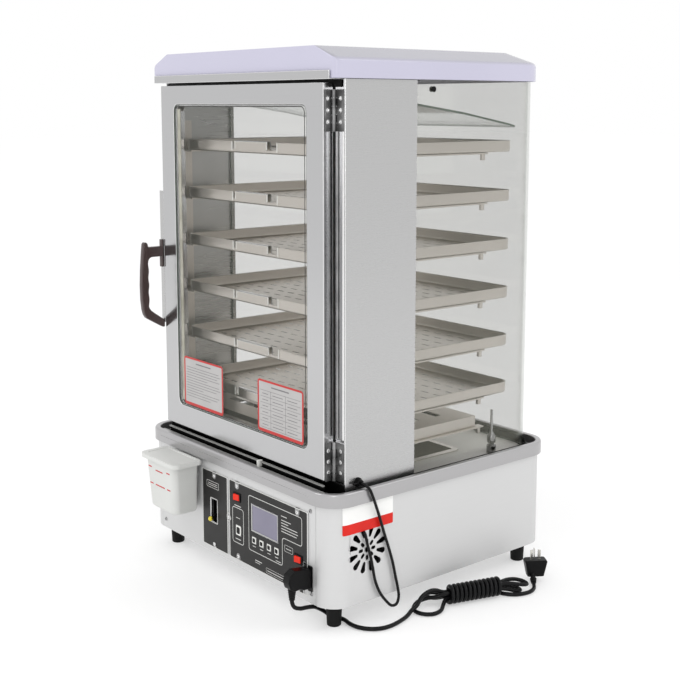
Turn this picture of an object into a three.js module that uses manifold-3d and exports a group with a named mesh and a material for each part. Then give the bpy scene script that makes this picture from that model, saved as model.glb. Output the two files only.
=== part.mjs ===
// Bun steamer cabinet: a heated water base, a glass cabinet with six steaming trays,
// a hinged glass door, a control panel, a filling box and a mains lead with its hank.
// Millimetres, +Z up, front towards -Y, the floor at z = 0.
import * as THREE from 'three';
import { mergeVertices } from 'three/addons/utils/BufferGeometryUtils.js';
import Module from 'manifold-3d';

const wasm = await Module();
wasm.setup();

// Clearances and general working sizes
const clearance = 0.3; // between pieces that touch
const overrun = 5; // how far a cutter runs past what it cuts
const weldDistance = 0.00015; // corners nearer than this are one
const sheet = 1.5; // folded stainless sheet
const turn = Math.PI * 2;
const quarter = Math.PI / 2;
const cornerSteps = 5; // facets in a quarter round
const fineSteps = 6; // the same on the large outer corners

// Base
const footHeight = 46;
const footTopRadius = 16;
const footBottomRadius = 13.5;
const footInset = 40;
const bodyWidth = 628;
const bodyDepth = 582;
const bodyHeight = 193;
const bodyRadius = 45;
const floorThickness = 2;
const returnFlange = 10;
const frontPlateWidth = 540;
const rimOverhang = 7;
const rimHeight = 26;
const rimFlange = 12;
const rimBevel = 2;
const channelDepth = 18.5;
const deckLedge = 26;
const tankWidth = 400;
const tankDepth = 320;
const tankHeight = 110;
const tankCentreY = -30;
const tankFlange = 12;
const tankRadius = 6;
const elementRadius = 4;
const elementLift = 26;
const elementSpan = 300;
const elementPitch = 56;
const elementCollarRadius = 9;
const elementCollarLength = 6;
const elementTail = 30;

// Round vent in the right side of the base
const ventY = -204.5;
const ventAboveBody = 100.5;
const ventHub = 5;
const ventInnerRing = [12, 18.5];
const ventInnerHalfWidth = 2.4;
const ventOuterRing = [25, 37];
const ventOuterHalfWidths = [2.2, 4];
const ventInnerCount = 8;
const ventOuterCount = 12;

// Cabinet
const cabinetWidth = 596;
const cabinetFront = -244;
const cabinetRear = 274;
const cabinetHeight = 757;
const postWidth = 38;
const frameDepth = 20;
const sillHeight = 49;
const headerHeight = 19;
const frameInnerRadius = 6;
const sidePanelDepth = 171;
const glassThickness = 5;
const glassLap = 12;
const glassRadius = 60;
const dripLipDrop = 2.5;
const dripLipHeight = 15.5;
const dripLipReach = 32;
const dripLipShort = 6;

// Lid
const lidOverhang = 8;
const lidFrontReach = 28;
const lidSkirt = 33;
const lidHip = 24;
const lidHipInset = 58;
const lidEdgeInset = 3;
const lidFrontRadius = 20;
const lidTopRadius = 4;
const lidWall = 3;

// Glass plug and condensate shield
const plugY = -31;
const plugDrop = 17;
const plugShank = 4;
const plugHead = 5.5;
const plugHeadThickness = 1.2;
const shieldWidth = 570;
const shieldThickness = 4;
const shieldFront = -223.7;
const shieldDepth = 428;
const shieldDrop = 24;
const shieldFall = 62;
const shieldOutlineShares = [[0, 0], [0.05, 0], [0.35, 0.27], [0.66, 0.57], [0.87, 0.82], [0.96, 0.93],
  [1, 1]];

// Door
const doorRightGap = 31;
const doorWidth = 545;
const doorHeight = 718;
const doorThickness = 22;
const doorSealGap = 3;
const doorTopGap = 7;
const stileWidth = 52.5;
const topRailHeight = 41;
const bottomRailHeight = 50;
const windowRadius = 12;
const doorGlassThickness = 4;
const glassRebate = 4;
const gasketWidth = 10;
const gasketInset = 5;

// Hinges
const hingeHeight = 62;
const hingeKnuckles = 5;
const hingeRadius = 4.5;
const hingePinRadius = 1.8;
const hingeLeaf = 2;
const hingeFrameLeafWidth = 23;
const hingeDoorLeafWidth = 17;
const hingeEndInset = [4, 17];

// Door handle, as shares of its reach out from the door and of its height up from its lower foot
const handleThickness = 12;
const handleBevel = 1.6;
const handleFoot = 206;
const handleReach = 55;
const handleHeight = 189;
const handleWave = 1.7;
const handleWaves = 3;
const handleOuterShares = [[0, 1], [0.08, 1], [0.08, 0.925], [0.66, 0.925], [0.7, 0.965], [0.75, 0.98],
  [0.83, 0.98], [0.88, 0.96], [0.92, 0.85], [0.97, 0.68], [1, 0.5], [0.99, 0.33], [0.95, 0.22], [0.9, 0.165],
  [0.82, 0.125], [0.6, 0.085], [0.09, 0], [0, 0], [0, 0.08], [0.42, 0.165], [0.58, 0.2], [0.65, 0.225]];
const handleGripShares = [0.69, 0.25, 0.74];
const handleInnerShares = [[0.67, 0.775], [0.61, 0.8], [0.52, 0.81], [0.08, 0.81], [0.08, 0.69], [0, 0.69]];
const stripThickness = 2;
const stripWidth = 14;
const stripHeight = 283;
const stripFoot = 216;

// Trays and the racks that carry them
const trayCount = 6;
const trayWidth = 510;
const trayDepth = 466;
const trayFront = -228;
const trayRim = 23;
const trayRadius = 22;
const traySheet = 1.2;
const trayPitch = 100;
const lowestTrayTop = 387;
const gripWidth = 108;
const gripHeight = 18;
const gripReach = 9;
const gripRise = 1.5;
const gripRadius = 5;
const notchWidth = 20;
const notchDepth = 15;
const slotColumns = 2;
const slotRows = 5;
const slotLengthShare = 0.36;
const slotWidth = 9;
const rackThickness = 3;
const rackStripWidth = 38;
const rackArmWidth = 16;
const rackArmReach = 388;
const rackArmOverlap = 19;
const rackTop = 925;
const pegRadius = 5;
const pegLength = 12;
const pegInset = 8;
const dripTrayTop = 325;
const dripTrayHeight = 22;
const dripTrayWidth = 486;
const dripTrayDepth = 365;
const dripTrayFront = -216;
const dripSlots = 5;
const dripSlotLength = 150;
const dripSlotWidth = 16;

// Fittings on the base deck
const reliefX = 262;
const reliefY = 178;
const reliefRadius = 10;
const reliefHeight = 91;
const reliefOutlineShares = [[0, 0], [1, 0], [1, 0.165], [0.6, 0.187], [0.6, 0.22], [0.9, 0.23], [0.9, 0.374],
  [0.5, 0.44], [0.28, 0.484], [0.28, 0.98], [0, 1]];
const probeX = -240;
const probeY = -104;
const probeLift = 31;
const probeLength = 34;
const probeHeight = 16;
const probeDepth = 12;
const probeStem = 4;
const probeRing = 6;

// Front panels
const panelHeight = 161;
const panelThickness = 2;
const panelAboveBody = 12;
const panelRadius = 2;
const fillerPanelLeft = -104;
const fillerPanelWidth = 91;
const controlPanelLeft = -6;
const controlPanelWidth = 255;
const panelLap = 6;
const screwNotchRadius = 4.5;
const fillerNotches = [[43, 0], [43, 161]];
const controlNotches = [[27, 0], [224, 0], [30, 161], [225, 161], [0, 80]];

// Filling valve and lever
const valveX = -62.5;
const valveHeight = 137;
const valveBody = [44, 46, 58];
const valveCheekGap = 10;
const valveCavityDepth = 32;
const valvePivotDepth = 23;
const valvePinRadius = 2.2;
const leverHub = 7;
const leverHubWidth = 9;
const leverLength = 34;
const leverArm = 5;
const leverRest = 0.42; // radians below level
const leverKnob = 5.2;
const fillSlot = [22, 47];

// Control panel fittings
const rockerPlaces = [[21.5, 188], [221, 121]];
const rockerBezel = [24, 18];
const rockerBezelThickness = 1.5;
const rockerHousing = [20.6, 15.2, 15];
const rockerOpening = [18.4, 12.8];
const rockerPaddle = [15.4, 12.2];
const rockerPivotDepth = 2;
const rockerProud = [3.2, 1, 0.4];
const rockerHeel = 3;
const displayCentre = [114, 160.5];
const displaySize = [86, 54];
const displayRecess = 0.5;
const boardSize = [153, 76];
const boardCentre = [88.5, 140];
const boardDepth = 6.5;
const boardThickness = 1.6;
const keySize = 12;
const keyProud = 0.9;
const keyStem = 3.6;
const keyRadius = 2.2;
const keyHeight = 115.5;
const keyLeft = 78.8;
const keyPitch = 24.6;
const keyCount = 4;
const setKeyPlace = [25.2, 120.3];
const setKeySize = [16, 19];

// Mains inlet and its connector
const inletX = 250;
const inletHeight = 94;
const inletFlange = [24, 49];
const inletBody = [19.4, 27, 24];
const inletCavity = [16.6, 24, 14];
const inletWallGap = 1;
const inletPin = [2, 4, 10];
const inletPinOffsets = [[0, 5], [0, -6], [0, 0]];
const connectorNose = [15.8, 23.2, 12];
const connectorWidth = 22;
const connectorBevel = 2;
const connectorReach = 51;
const connectorHeight = 25;
const connectorOutlineShares = [[0, 0.8], [0.33, 0.88], [0.7, 1], [0.94, 0.72], [1, 0.2], [0.92, -0.32],
  [0.75, -0.56], [0.5, -0.52], [0.31, -0.68], [0, -0.68]];
const connectorNeckReach = 37;
const connectorNeck = [8, 5.6];
const connectorNeckDrop = 28;

// Filling box
const fillBoxX = -163;
const fillBoxStandOff = 9;
const fillBoxTop = [112, 62];
const fillBoxBottom = [100, 55];
const fillBoxHeight = 107;
const fillBoxBase = 124;
const fillBoxRadius = 14;
const fillBoxWall = 2.4;
const fillLidSize = [138, 68];
const fillLidThickness = 6;
const fillLidRadius = 15;
const fillLidPlug = 3;
const hookPitch = 60;
const hookWidth = 12;
const hookThickness = 4;
const hookDrop = 12;
const hookTip = 2.5;
const hookHeight = 200;
const hookLift = 12.7;
const hookSlotSide = 0.6;
const restRib = [8, 30];

// Lead through the side panel and its gland
const glandY = -214;
const glandHeight = 273;
const glandFlange = [9, 2];
const glandKnob = [6.5, 7];
const glandStub = [2.2, 14];
const sensorRadius = 2.8;
const mainsRadius = 4;
const cordSides = 8;

// Hank of the mains lead, and the plug on its end
const hankStart = [343, -30];
const hankEnd = [381, 94];
const wrapPitch = 9.4;
const wrapTurns = 12;
const wrapSteps = 24;
const wrapStart = 3.98; // radians from the near side, going up
const wrapInset = 6;
const hankSides = 6;
const coreSpacing = 8.6;
const coreGap = 0.8;
const plugNeck = [6.2, 4.6, 12];
const plugBase = 13;
const plugCentre = [377, 191];
const plugTurn = 1.0;
const plugBottom = [34, 19];
const plugTop = [46, 26];
const plugHeight = 34;
const plugShoulderShare = 0.9; // where the plug's body turns in, as a share of its height
const plugRadius = 4;
const pinSize = [6.4, 1.6, 19];
const pinSpread = 7.9;
const pinSlant = 0.52;
const earthPinOffset = 8.4;

// Places worked out from the sizes above
const bodyTop = footHeight + bodyHeight;
const rimTop = bodyTop + rimHeight;
const rimWidth = bodyWidth + 2 * rimOverhang;
const rimDepth = bodyDepth + 2 * rimOverhang;
const deckTop = rimTop - channelDepth;
const bodyCap = deckTop - sheet - clearance;
const bodyFront = -bodyDepth / 2;
const cabinetBase = deckTop + clearance;
const cabinetTop = cabinetBase + cabinetHeight;
const doorFace = cabinetFront - doorSealGap - doorThickness;
const doorBack = doorFace + doorThickness;
const doorRight = cabinetWidth / 2 - doorRightGap;
const doorLeft = doorRight - doorWidth;
const doorTop = cabinetTop - doorTopGap;
const doorBottom = doorTop - doorHeight;
const panelBack = bodyFront - clearance;
const panelFace = panelBack - panelThickness;
const panelBottom = footHeight + panelAboveBody;
const fillBoxBack = bodyFront - fillBoxStandOff;
const frontReach = fillBoxBack - fillLidSize[1];
const centreShift = -(frontReach + rimDepth / 2) / 2;

// Finishes
const finish = (color, roughness, metalness, extra = {}) =>
  new THREE.MeshStandardMaterial({ color, roughness, metalness, ...extra });
const steel = finish(0xc9c9c9, 0.32, 0.9);
const polishedSteel = finish(0xd2d2d2, 0.12, 1);
const traySteel = finish(0xb4b5b0, 0.28, 0.9);
const clearGlass = finish(0xdfe8e0, 0.05, 0, { transparent: true, opacity: 0.25 });
const lidPlastic = finish(0xdcdaea, 0.4, 0);
const whitePlastic = finish(0xf0f0ec, 0.35, 0);
const blackPlastic = finish(0x161616, 0.45, 0);
const panelFilm = finish(0x3f3e3c, 0.4, 0);
const brownPlastic = finish(0x33231f, 0.4, 0);
const redPlastic = finish(0xe23218, 0.3, 0);
const yellowPlastic = finish(0xe6d23a, 0.4, 0);
const blackRubber = finish(0x111111, 0.6, 0);
const screenGrey = finish(0xa9a6bc, 0.2, 0);
const brass = finish(0xb59a58, 0.3, 1);

// The whole unit, shifted so that the origin is under the middle of its footprint
const unit = new THREE.Group();
unit.position.y = centreShift;

function add(name, geometry, material, parent = unit) {
  const mesh = new THREE.Mesh(geometry, material);
  mesh.name = name;
  parent.add(mesh);
  return mesh;
}

// Solids: a closed geometry as a manifold, and back
function solid(geometry) {
  const bare = geometry.clone();
  for (const key of Object.keys(bare.attributes)) {
    if (key !== 'position') bare.deleteAttribute(key);
  }
  const merged = mergeVertices(bare, weldDistance);
  return new wasm.Manifold(new wasm.Mesh({
    numProp: 3,
    vertProperties: new Float32Array(merged.attributes.position.array),
    triVerts: new Uint32Array(merged.index.array),
  }));
}

function geometryOf(manifold) {
  const mesh = manifold.getMesh();
  const geometry = new THREE.BufferGeometry();
  geometry.setAttribute('position', new THREE.BufferAttribute(mesh.vertProperties, 3));
  geometry.setIndex(new THREE.BufferAttribute(mesh.triVerts, 1));
  geometry.computeVertexNormals();
  return geometry;
}

// A closed skin from points and triangles, with its faces turned outwards
function skin(positions, index) {
  const at = (i) => new THREE.Vector3().fromArray(positions, 3 * index[i]);
  let volume = 0;
  for (let i = 0; i < index.length; i += 3) volume += at(i).dot(at(i + 1).cross(at(i + 2)));
  const geometry = new THREE.BufferGeometry();
  geometry.setAttribute('position', new THREE.Float32BufferAttribute(positions, 3));
  geometry.setIndex(volume < 0 ? index.toReversed() : index);
  geometry.computeVertexNormals();
  return geometry;
}

const join = (...geometries) => geometryOf(geometries.map(solid).reduce((a, b) => a.add(b)));
const carve = (base, ...cutters) =>
  geometryOf(cutters.map(solid).reduce((a, b) => a.subtract(b), solid(base)));

// A box given by its low and high corners
function block(low, high) {
  const size = high.map((value, i) => value - low[i]);
  const geometry = new THREE.BoxGeometry(...size);
  return geometry.translate(...low.map((value, i) => value + size[i] / 2));
}

// An upright, crosswise or lengthwise round bar
function rod(axis, radius, low, high, centre, sides = 12) {
  const geometry = new THREE.CylinderGeometry(radius, radius, high - low, sides);
  if (axis === 'z') geometry.rotateX(quarter).translate(centre[0], centre[1], (low + high) / 2);
  if (axis === 'x') geometry.rotateZ(quarter).translate((low + high) / 2, centre[0], centre[1]);
  if (axis === 'y') geometry.translate(centre[0], (low + high) / 2, centre[1]);
  return geometry;
}

// Points round a rectangle from (x0, y0) to (x1, y1), with its own radius on the front and rear corners
function ring(x0, x1, y0, y1, frontRadius, rearRadius = frontRadius, steps = cornerSteps) {
  const corners = [[x1, y1, rearRadius, 0], [x0, y1, rearRadius, 1], [x0, y0, frontRadius, 2],
    [x1, y0, frontRadius, 3]];
  const points = [];
  for (const [x, y, radius, quadrant] of corners) {
    const cx = x + (x === x1 ? -radius : radius);
    const cy = y + (y === y1 ? -radius : radius);
    for (let i = 0; i <= steps; i += 1) {
      const angle = quarter * (quadrant + i / steps);
      points.push([cx + radius * Math.cos(angle), cy + radius * Math.sin(angle)]);
    }
  }
  return points;
}

const outline = (points) => new THREE.Shape(points.map(([x, y]) => new THREE.Vector2(x, y)));

// A flat outline, less its holes, drawn up from z = low to z = high
function prism(points, low, high, holes = []) {
  const shape = outline(points);
  for (const hole of holes) shape.holes.push(outline(hole));
  const geometry = new THREE.ExtrudeGeometry(shape, { depth: high - low, bevelEnabled: false });
  return geometry.translate(0, 0, low);
}

// The same outline standing upright: x across, z up, drawn from y = front back to y = back
const upright = (points, front, back, holes = []) =>
  prism(points, -back, -front, holes).rotateX(quarter);

// A drawing turned so that its x runs along y, its y upwards and its depth across
const crosswise = (geometry) => geometry.rotateY(quarter).rotateX(quarter);

// A stack of rings with equal counts, skinned side to side and closed at both ends
function loft(rings) {
  const count = rings[0].length;
  const positions = rings.flatMap((points) => points.flat());
  const index = [];
  for (let k = 0; k + 1 < rings.length; k += 1) {
    for (let i = 0; i < count; i += 1) {
      const j = (i + 1) % count;
      const a = k * count;
      const b = a + count;
      index.push(a + i, a + j, b + j, a + i, b + j, b + i);
    }
  }
  const cap = (points, offset, flip) => {
    const flat = points.map(([x, y]) => new THREE.Vector2(x, y));
    for (const [p, q, r] of THREE.ShapeUtils.triangulateShape(flat, [])) {
      index.push(...(flip ? [offset + p, offset + r, offset + q] : [offset + p, offset + q, offset + r]));
    }
  };
  cap(rings[0], 0, true);
  cap(rings.at(-1), (rings.length - 1) * count, false);
  return skin(positions, index);
}

const level = (points, z) => points.map(([x, y]) => [x, y, z]);

// A folded section carried round a rounded rectangle; section points are [outwards, up]
function foldedRing(halfX, halfY, radius, section, steps = cornerSteps) {
  const stations = [];
  for (let quadrant = 0; quadrant < 4; quadrant += 1) {
    const sx = quadrant === 0 || quadrant === 3 ? 1 : -1;
    const sy = quadrant < 2 ? 1 : -1;
    for (let i = 0; i <= steps; i += 1) {
      const angle = quarter * (quadrant + i / steps);
      stations.push([sx * (halfX - radius), sy * (halfY - radius), Math.cos(angle), Math.sin(angle)]);
    }
  }
  const positions = [];
  const index = [];
  const count = section.length;
  for (const [cx, cy, nx, ny] of stations) {
    for (const [out, z] of section) positions.push(cx + nx * (radius + out), cy + ny * (radius + out), z);
  }
  for (let s = 0; s < stations.length; s += 1) {
    const a = s * count;
    const b = ((s + 1) % stations.length) * count;
    for (let i = 0; i < count; i += 1) {
      const j = (i + 1) % count;
      index.push(a + i, b + i, b + j, a + i, b + j, a + j);
    }
  }
  return skin(positions, index);
}

// A round tube along a list of points, in steps that follow the list
function tube(points, radius, sides) {
  const along = points.map((point, i) => {
    const before = points[Math.max(i - 1, 0)];
    const after = points[Math.min(i + 1, points.length - 1)];
    return after.clone().sub(before).normalize();
  });
  let side = new THREE.Vector3(0, 0, 1).cross(along[0]);
  if (side.length() < 0.5) side = new THREE.Vector3(1, 0, 0);
  const positions = [];
  const index = [];
  points.forEach((point, i) => {
    side.addScaledVector(along[i], -side.dot(along[i])).normalize();
    const up = along[i].clone().cross(side);
    for (let k = 0; k < sides; k += 1) {
      const angle = (turn * k) / sides;
      const out = side.clone().multiplyScalar(Math.cos(angle)).addScaledVector(up, Math.sin(angle));
      positions.push(...point.clone().addScaledVector(out, radius).toArray());
    }
    if (i > 0) {
      const a = (i - 1) * sides;
      for (let k = 0; k < sides; k += 1) {
        const m = (k + 1) % sides;
        index.push(a + k, a + m, a + sides + m, a + k, a + sides + m, a + sides + k);
      }
    }
  });
  const last = (points.length - 1) * sides;
  for (let k = 1; k + 1 < sides; k += 1) {
    index.push(0, k + 1, k);
    index.push(last, last + k, last + k + 1);
  }
  return skin(positions, index);
}

const vectors = (list) => list.map((p) => new THREE.Vector3(...p));
const smooth = (list, steps) => new THREE.CatmullRomCurve3(vectors(list)).getSpacedPoints(steps);

// Base casing: a sheet wrapped round the sides and back, with the round vent in its right side
function baseWrap() {
  const halfX = bodyWidth / 2;
  const halfY = bodyDepth / 2;
  const wall = [[0, footHeight], [0, bodyCap], [-returnFlange, bodyCap], [-returnFlange, bodyCap - sheet],
    [-sheet, bodyCap - sheet], [-sheet, footHeight + sheet], [-returnFlange, footHeight + sheet],
    [-returnFlange, footHeight]];
  const shell = foldedRing(halfX, halfY, bodyRadius, wall, fineSteps);
  const mouth = frontPlateWidth / 2 + clearance;
  const opening = block([-mouth, -halfY - overrun, 0], [mouth, -halfY + bodyRadius, rimTop]);
  const ventZ = footHeight + ventAboveBody;
  const holes = [rod('x', ventHub, halfX - overrun, halfX + overrun, [ventY, ventZ])];
  const slot = (inner, outer, narrow, wide, angle) => {
    const points = [];
    for (let i = 0; i <= 4; i += 1) {
      const a = -quarter + (Math.PI * i) / 4;
      points.push([outer + wide * Math.cos(a), wide * Math.sin(a)]);
    }
    for (let i = 0; i <= 3; i += 1) {
      const a = quarter + (Math.PI * i) / 3;
      points.push([inner + narrow * Math.cos(a), narrow * Math.sin(a)]);
    }
    return crosswise(prism(points, halfX - overrun, halfX + overrun).rotateZ(angle))
      .translate(0, ventY, ventZ);
  };
  for (let i = 0; i < ventInnerCount; i += 1) {
    holes.push(slot(...ventInnerRing, ventInnerHalfWidth, ventInnerHalfWidth, (turn * i) / ventInnerCount));
  }
  for (let i = 0; i < ventOuterCount; i += 1) {
    holes.push(slot(...ventOuterRing, ...ventOuterHalfWidths, (turn * (i + 0.5)) / ventOuterCount));
  }
  return carve(shell, opening, ...holes);
}

// Front plate of the base, with the openings behind the two dark panels and the hook slots
function frontPlate() {
  const half = frontPlateWidth / 2;
  const top = bodyCap;
  const pan = block([-half, bodyFront, footHeight], [half, bodyFront + returnFlange, top]);
  const hollow = block([-half - overrun, bodyFront + sheet, footHeight + sheet],
    [half + overrun, bodyFront + returnFlange + overrun, top - sheet]);
  const through = (x0, x1, z0, z1) =>
    block([x0, bodyFront - overrun, z0], [x1, bodyFront + sheet + overrun, z1]);
  const behind = (left, width) => through(left + panelLap, left + width - panelLap,
    panelBottom + panelLap, panelBottom + panelHeight - panelLap);
  const hooks = [-1, 1].map((side) => {
    const x = fillBoxX + (side * hookPitch) / 2;
    const half2 = hookWidth / 2 + hookSlotSide;
    return through(x - half2, x + half2, hookHeight - hookThickness - clearance, hookHeight + hookLift);
  });
  const [inletW, inletH] = inletBody;
  const inlet = through(inletX - inletW / 2 - hookSlotSide, inletX + inletW / 2 + hookSlotSide,
    inletHeight - inletH / 2 - hookSlotSide, inletHeight + inletH / 2 + hookSlotSide);
  return carve(pan, hollow, behind(fillerPanelLeft, fillerPanelWidth),
    through(controlPanelLeft + panelLap, inletX - inletFlange[0] / 2 - panelLap,
      panelBottom + panelLap, panelBottom + panelHeight - panelLap),
    through(controlPanelLeft + panelLap, controlPanelLeft + controlPanelWidth - panelLap,
      inletHeight + inletFlange[1] / 2 - panelLap / 2, panelBottom + panelHeight - panelLap),
    inlet, ...hooks);
}

function foot() {
  const profile = [[0, 0], [footBottomRadius, 0], [footTopRadius, footHeight + sheet],
    [0, footHeight + sheet]];
  return new THREE.LatheGeometry(profile.map(([x, y]) => new THREE.Vector2(x, y)), 20).rotateX(quarter);
}

// Top pan: outer rim band, rolled flange, water channel and deck with the tank opening
function topPan() {
  const low = deckTop - sheet;
  const section = [[0, bodyTop], [0, rimTop - rimBevel], [-rimBevel, rimTop], [-rimFlange, rimTop],
    [-rimFlange, deckTop], [-rimFlange - deckLedge, deckTop], [-rimFlange - deckLedge, low],
    [-rimFlange + sheet, low], [-rimFlange + sheet, rimTop - sheet], [-rimBevel - sheet / 2, rimTop - sheet],
    [-sheet, rimTop - rimBevel - sheet / 2], [-sheet, bodyTop]];
  const band = foldedRing(rimWidth / 2, rimDepth / 2, bodyRadius + rimOverhang, section, fineSteps);
  const inset = rimFlange + deckLedge - sheet;
  const deckX = rimWidth / 2 - inset;
  const deckY = rimDepth / 2 - inset;
  const hole = ring(-tankWidth / 2 - clearance, tankWidth / 2 + clearance,
    tankCentreY - tankDepth / 2 - clearance, tankCentreY + tankDepth / 2 + clearance, tankRadius);
  const deck = prism(ring(-deckX, deckX, -deckY, deckY, bodyRadius + rimOverhang - inset), low, deckTop,
    [hole]);
  return join(band, deck);
}

// Water tank: a deep pan hung in the deck opening by its flange
function waterTank() {
  const shape = (grow, radius) => ring(-tankWidth / 2 - grow, tankWidth / 2 + grow,
    tankCentreY - tankDepth / 2 - grow, tankCentreY + tankDepth / 2 + grow, radius);
  const top = deckTop + clearance + sheet;
  const well = prism(shape(0, tankRadius), top - tankHeight, top);
  const flange = prism(shape(tankFlange, tankRadius + tankFlange), deckTop + clearance, top);
  const inside = prism(shape(-sheet, tankRadius - sheet), top - tankHeight + sheet, top + overrun);
  const wallY = tankCentreY - tankDepth / 2;
  const lead = (x) => rod('y', elementRadius + clearance, wallY - overrun, wallY + overrun,
    [x, deckTop - tankHeight + elementLift]);
  return carve(join(well, flange), inside, lead(-elementPitch / 2), lead(elementPitch / 2));
}

// Heating element: a hairpin tube whose two tails pass through the tank's front wall in collars
function heatingElement() {
  const z = deckTop - tankHeight + elementLift;
  const wallY = tankCentreY - tankDepth / 2;
  const start = wallY - elementTail;
  const half = elementPitch / 2;
  const wide = elementSpan / 2 - half;
  const rear = tankCentreY + tankDepth / 2 - elementPitch;
  const points = [[half, start, z], [half, wallY, z]];
  const bend = (cx, cy, from, to) => {
    for (let i = 0; i <= cornerSteps; i += 1) {
      const angle = from + ((to - from) * i) / cornerSteps;
      points.push([cx + half * Math.cos(angle), cy + half * Math.sin(angle), z]);
    }
  };
  bend(elementPitch, wallY + elementPitch, Math.PI, quarter);
  bend(wide, wallY + 2 * elementPitch, -quarter, 0);
  bend(wide, rear, 0, quarter);
  const left = points.map(([x, y, height]) => [-x, y, height]).toReversed();
  const bar = tube(vectors([...points, ...left]), elementRadius, hankSides);
  const collar = (x) => rod('y', elementCollarRadius, wallY - clearance - elementCollarLength,
    wallY - clearance, [x, z], 6);
  return join(bar, collar(half), collar(-half));
}

// Cabinet front frame: posts, sill and header, with the drip lip folded over the door
function frontFrame() {
  const half = cabinetWidth / 2 - sheet - clearance;
  const open = half - postWidth;
  const back = cabinetFront + frameDepth;
  const body = upright([[-half, cabinetBase], [half, cabinetBase], [half, cabinetTop], [-half, cabinetTop]],
    cabinetFront, back,
    [ring(-open, open, cabinetBase + sillHeight, cabinetTop - headerHeight, frameInnerRadius)]);
  const lipHalf = cabinetWidth / 2 - dripLipShort;
  const shelf = block([-lipHalf, cabinetFront - dripLipReach, cabinetTop - sheet],
    [lipHalf, cabinetFront + sheet, cabinetTop]);
  const lip = block([-lipHalf, cabinetFront - dripLipReach, cabinetTop - sheet],
    [lipHalf, cabinetFront - dripLipReach + sheet, cabinetTop - sheet + dripLipHeight]);
  return join(body, shelf, lip);
}

// One steel side panel, on the side given by its sign
function sidePanel(side) {
  const outer = cabinetWidth / 2;
  const rear = cabinetFront + sidePanelDepth;
  if (side < 0) return block([-outer, cabinetFront, cabinetBase], [sheet - outer, rear, cabinetTop]);
  return carve(block([outer - sheet, cabinetFront, cabinetBase], [outer, rear, cabinetTop]),
    rod('x', glandKnob[0] - 2 * clearance, outer - overrun, outer + overrun, [glandY, glandHeight]));
}

// The bent glass: right side, back and left side in one sheet with rounded rear corners
function bentGlass() {
  const half = cabinetWidth / 2 - sheet - clearance;
  const front = cabinetFront + sidePanelDepth - glassLap;
  const path = (inset) => {
    const radius = glassRadius - inset;
    const points = [[half - inset, front]];
    for (const [sign, from] of [[1, 0], [-1, quarter]]) {
      for (let i = 0; i <= 2 * cornerSteps; i += 1) {
        const angle = from + (quarter * i) / (2 * cornerSteps);
        points.push([sign * (half - glassRadius) + radius * Math.cos(angle),
          cabinetRear - glassRadius + radius * Math.sin(angle)]);
      }
    }
    points.push([-half + inset, front]);
    return points;
  };
  const sheetGlass = prism([...path(0), ...path(glassThickness).toReversed()], cabinetBase,
    cabinetTop - clearance);
  return carve(sheetGlass, rod('x', plugShank + clearance, half - glassThickness - overrun,
    half + overrun, [plugY, cabinetTop - plugDrop], cordSides));
}

function glassPlug() {
  const outer = cabinetWidth / 2 - sheet - clearance;
  const z = cabinetTop - plugDrop;
  const head = plugHeadThickness;
  return join(
    rod('x', plugHead, outer + clearance, outer + clearance + head, [plugY, z]),
    rod('x', plugShank, outer - glassThickness - clearance - head, outer + clearance + head / 2, [plugY, z]),
    rod('x', plugHead, outer - glassThickness - clearance - head, outer - glassThickness - clearance,
      [plugY, z], 6),
  );
}

// Lid: a moulded cap with a straight skirt and hipped slopes up to a flat top
function lid() {
  const half = cabinetWidth / 2 + lidOverhang;
  const front = cabinetFront - lidFrontReach;
  const rear = cabinetRear + lidOverhang;
  const rearRadius = glassRadius + lidOverhang;
  const at = (inset, z, frontRadius, backRadius) => level(ring(-half + inset, half - inset,
    front + inset, rear - inset, frontRadius, backRadius, fineSteps), z);
  const low = cabinetTop + clearance;
  const shoulder = low + lidSkirt;
  const top = shoulder + lidHip;
  const hip = lidHipInset;
  return loft([
    at(hip + lidWall, top - lidWall, lidTopRadius, lidTopRadius),
    at(lidWall, shoulder - lidWall, lidFrontRadius - lidWall, rearRadius - lidWall),
    at(lidWall, low, lidFrontRadius - lidWall, rearRadius - lidWall),
    at(0, low, lidFrontRadius, rearRadius),
    at(0, shoulder - lidEdgeInset, lidFrontRadius, rearRadius),
    at(lidEdgeInset, shoulder, lidFrontRadius, rearRadius - lidEdgeInset),
    at(hip, top, lidTopRadius, lidTopRadius),
  ]);
}

// Condensate shield: a clear sheet that falls towards the back, seen end on as a bent line
function condensateShield() {
  const line = shieldOutlineShares.map(([along, down]) =>
    [shieldFront + along * shieldDepth, cabinetTop - shieldDrop - down * shieldFall]);
  const under = line.map(([y, z]) => [y, z - shieldThickness]).toReversed();
  return crosswise(prism([...line, ...under], -shieldWidth / 2, shieldWidth / 2));
}

// Door: frame with a rebate for the pane, the pane, and the seal behind
const windowLeft = doorLeft + stileWidth;
const windowRight = doorRight - stileWidth;
const windowBottom = doorBottom + bottomRailHeight;
const windowTop = doorTop - topRailHeight;

function doorFrame() {
  const face = [[doorLeft, doorBottom], [doorRight, doorBottom], [doorRight, doorTop], [doorLeft, doorTop]];
  const body = upright(face, doorFace, doorBack,
    [ring(windowLeft, windowRight, windowBottom, windowTop, windowRadius)]);
  const rebate = upright(ring(windowLeft - glassRebate, windowRight + glassRebate,
    windowBottom - glassRebate, windowTop + glassRebate, windowRadius + glassRebate),
  doorFace - overrun, doorFace + doorGlassThickness + 2 * clearance);
  return carve(body, rebate);
}

function doorGlass() {
  const edge = glassRebate - clearance;
  return upright(ring(windowLeft - edge, windowRight + edge, windowBottom - edge, windowTop + edge,
    windowRadius + edge), doorFace + clearance, doorFace + clearance + doorGlassThickness);
}

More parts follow.
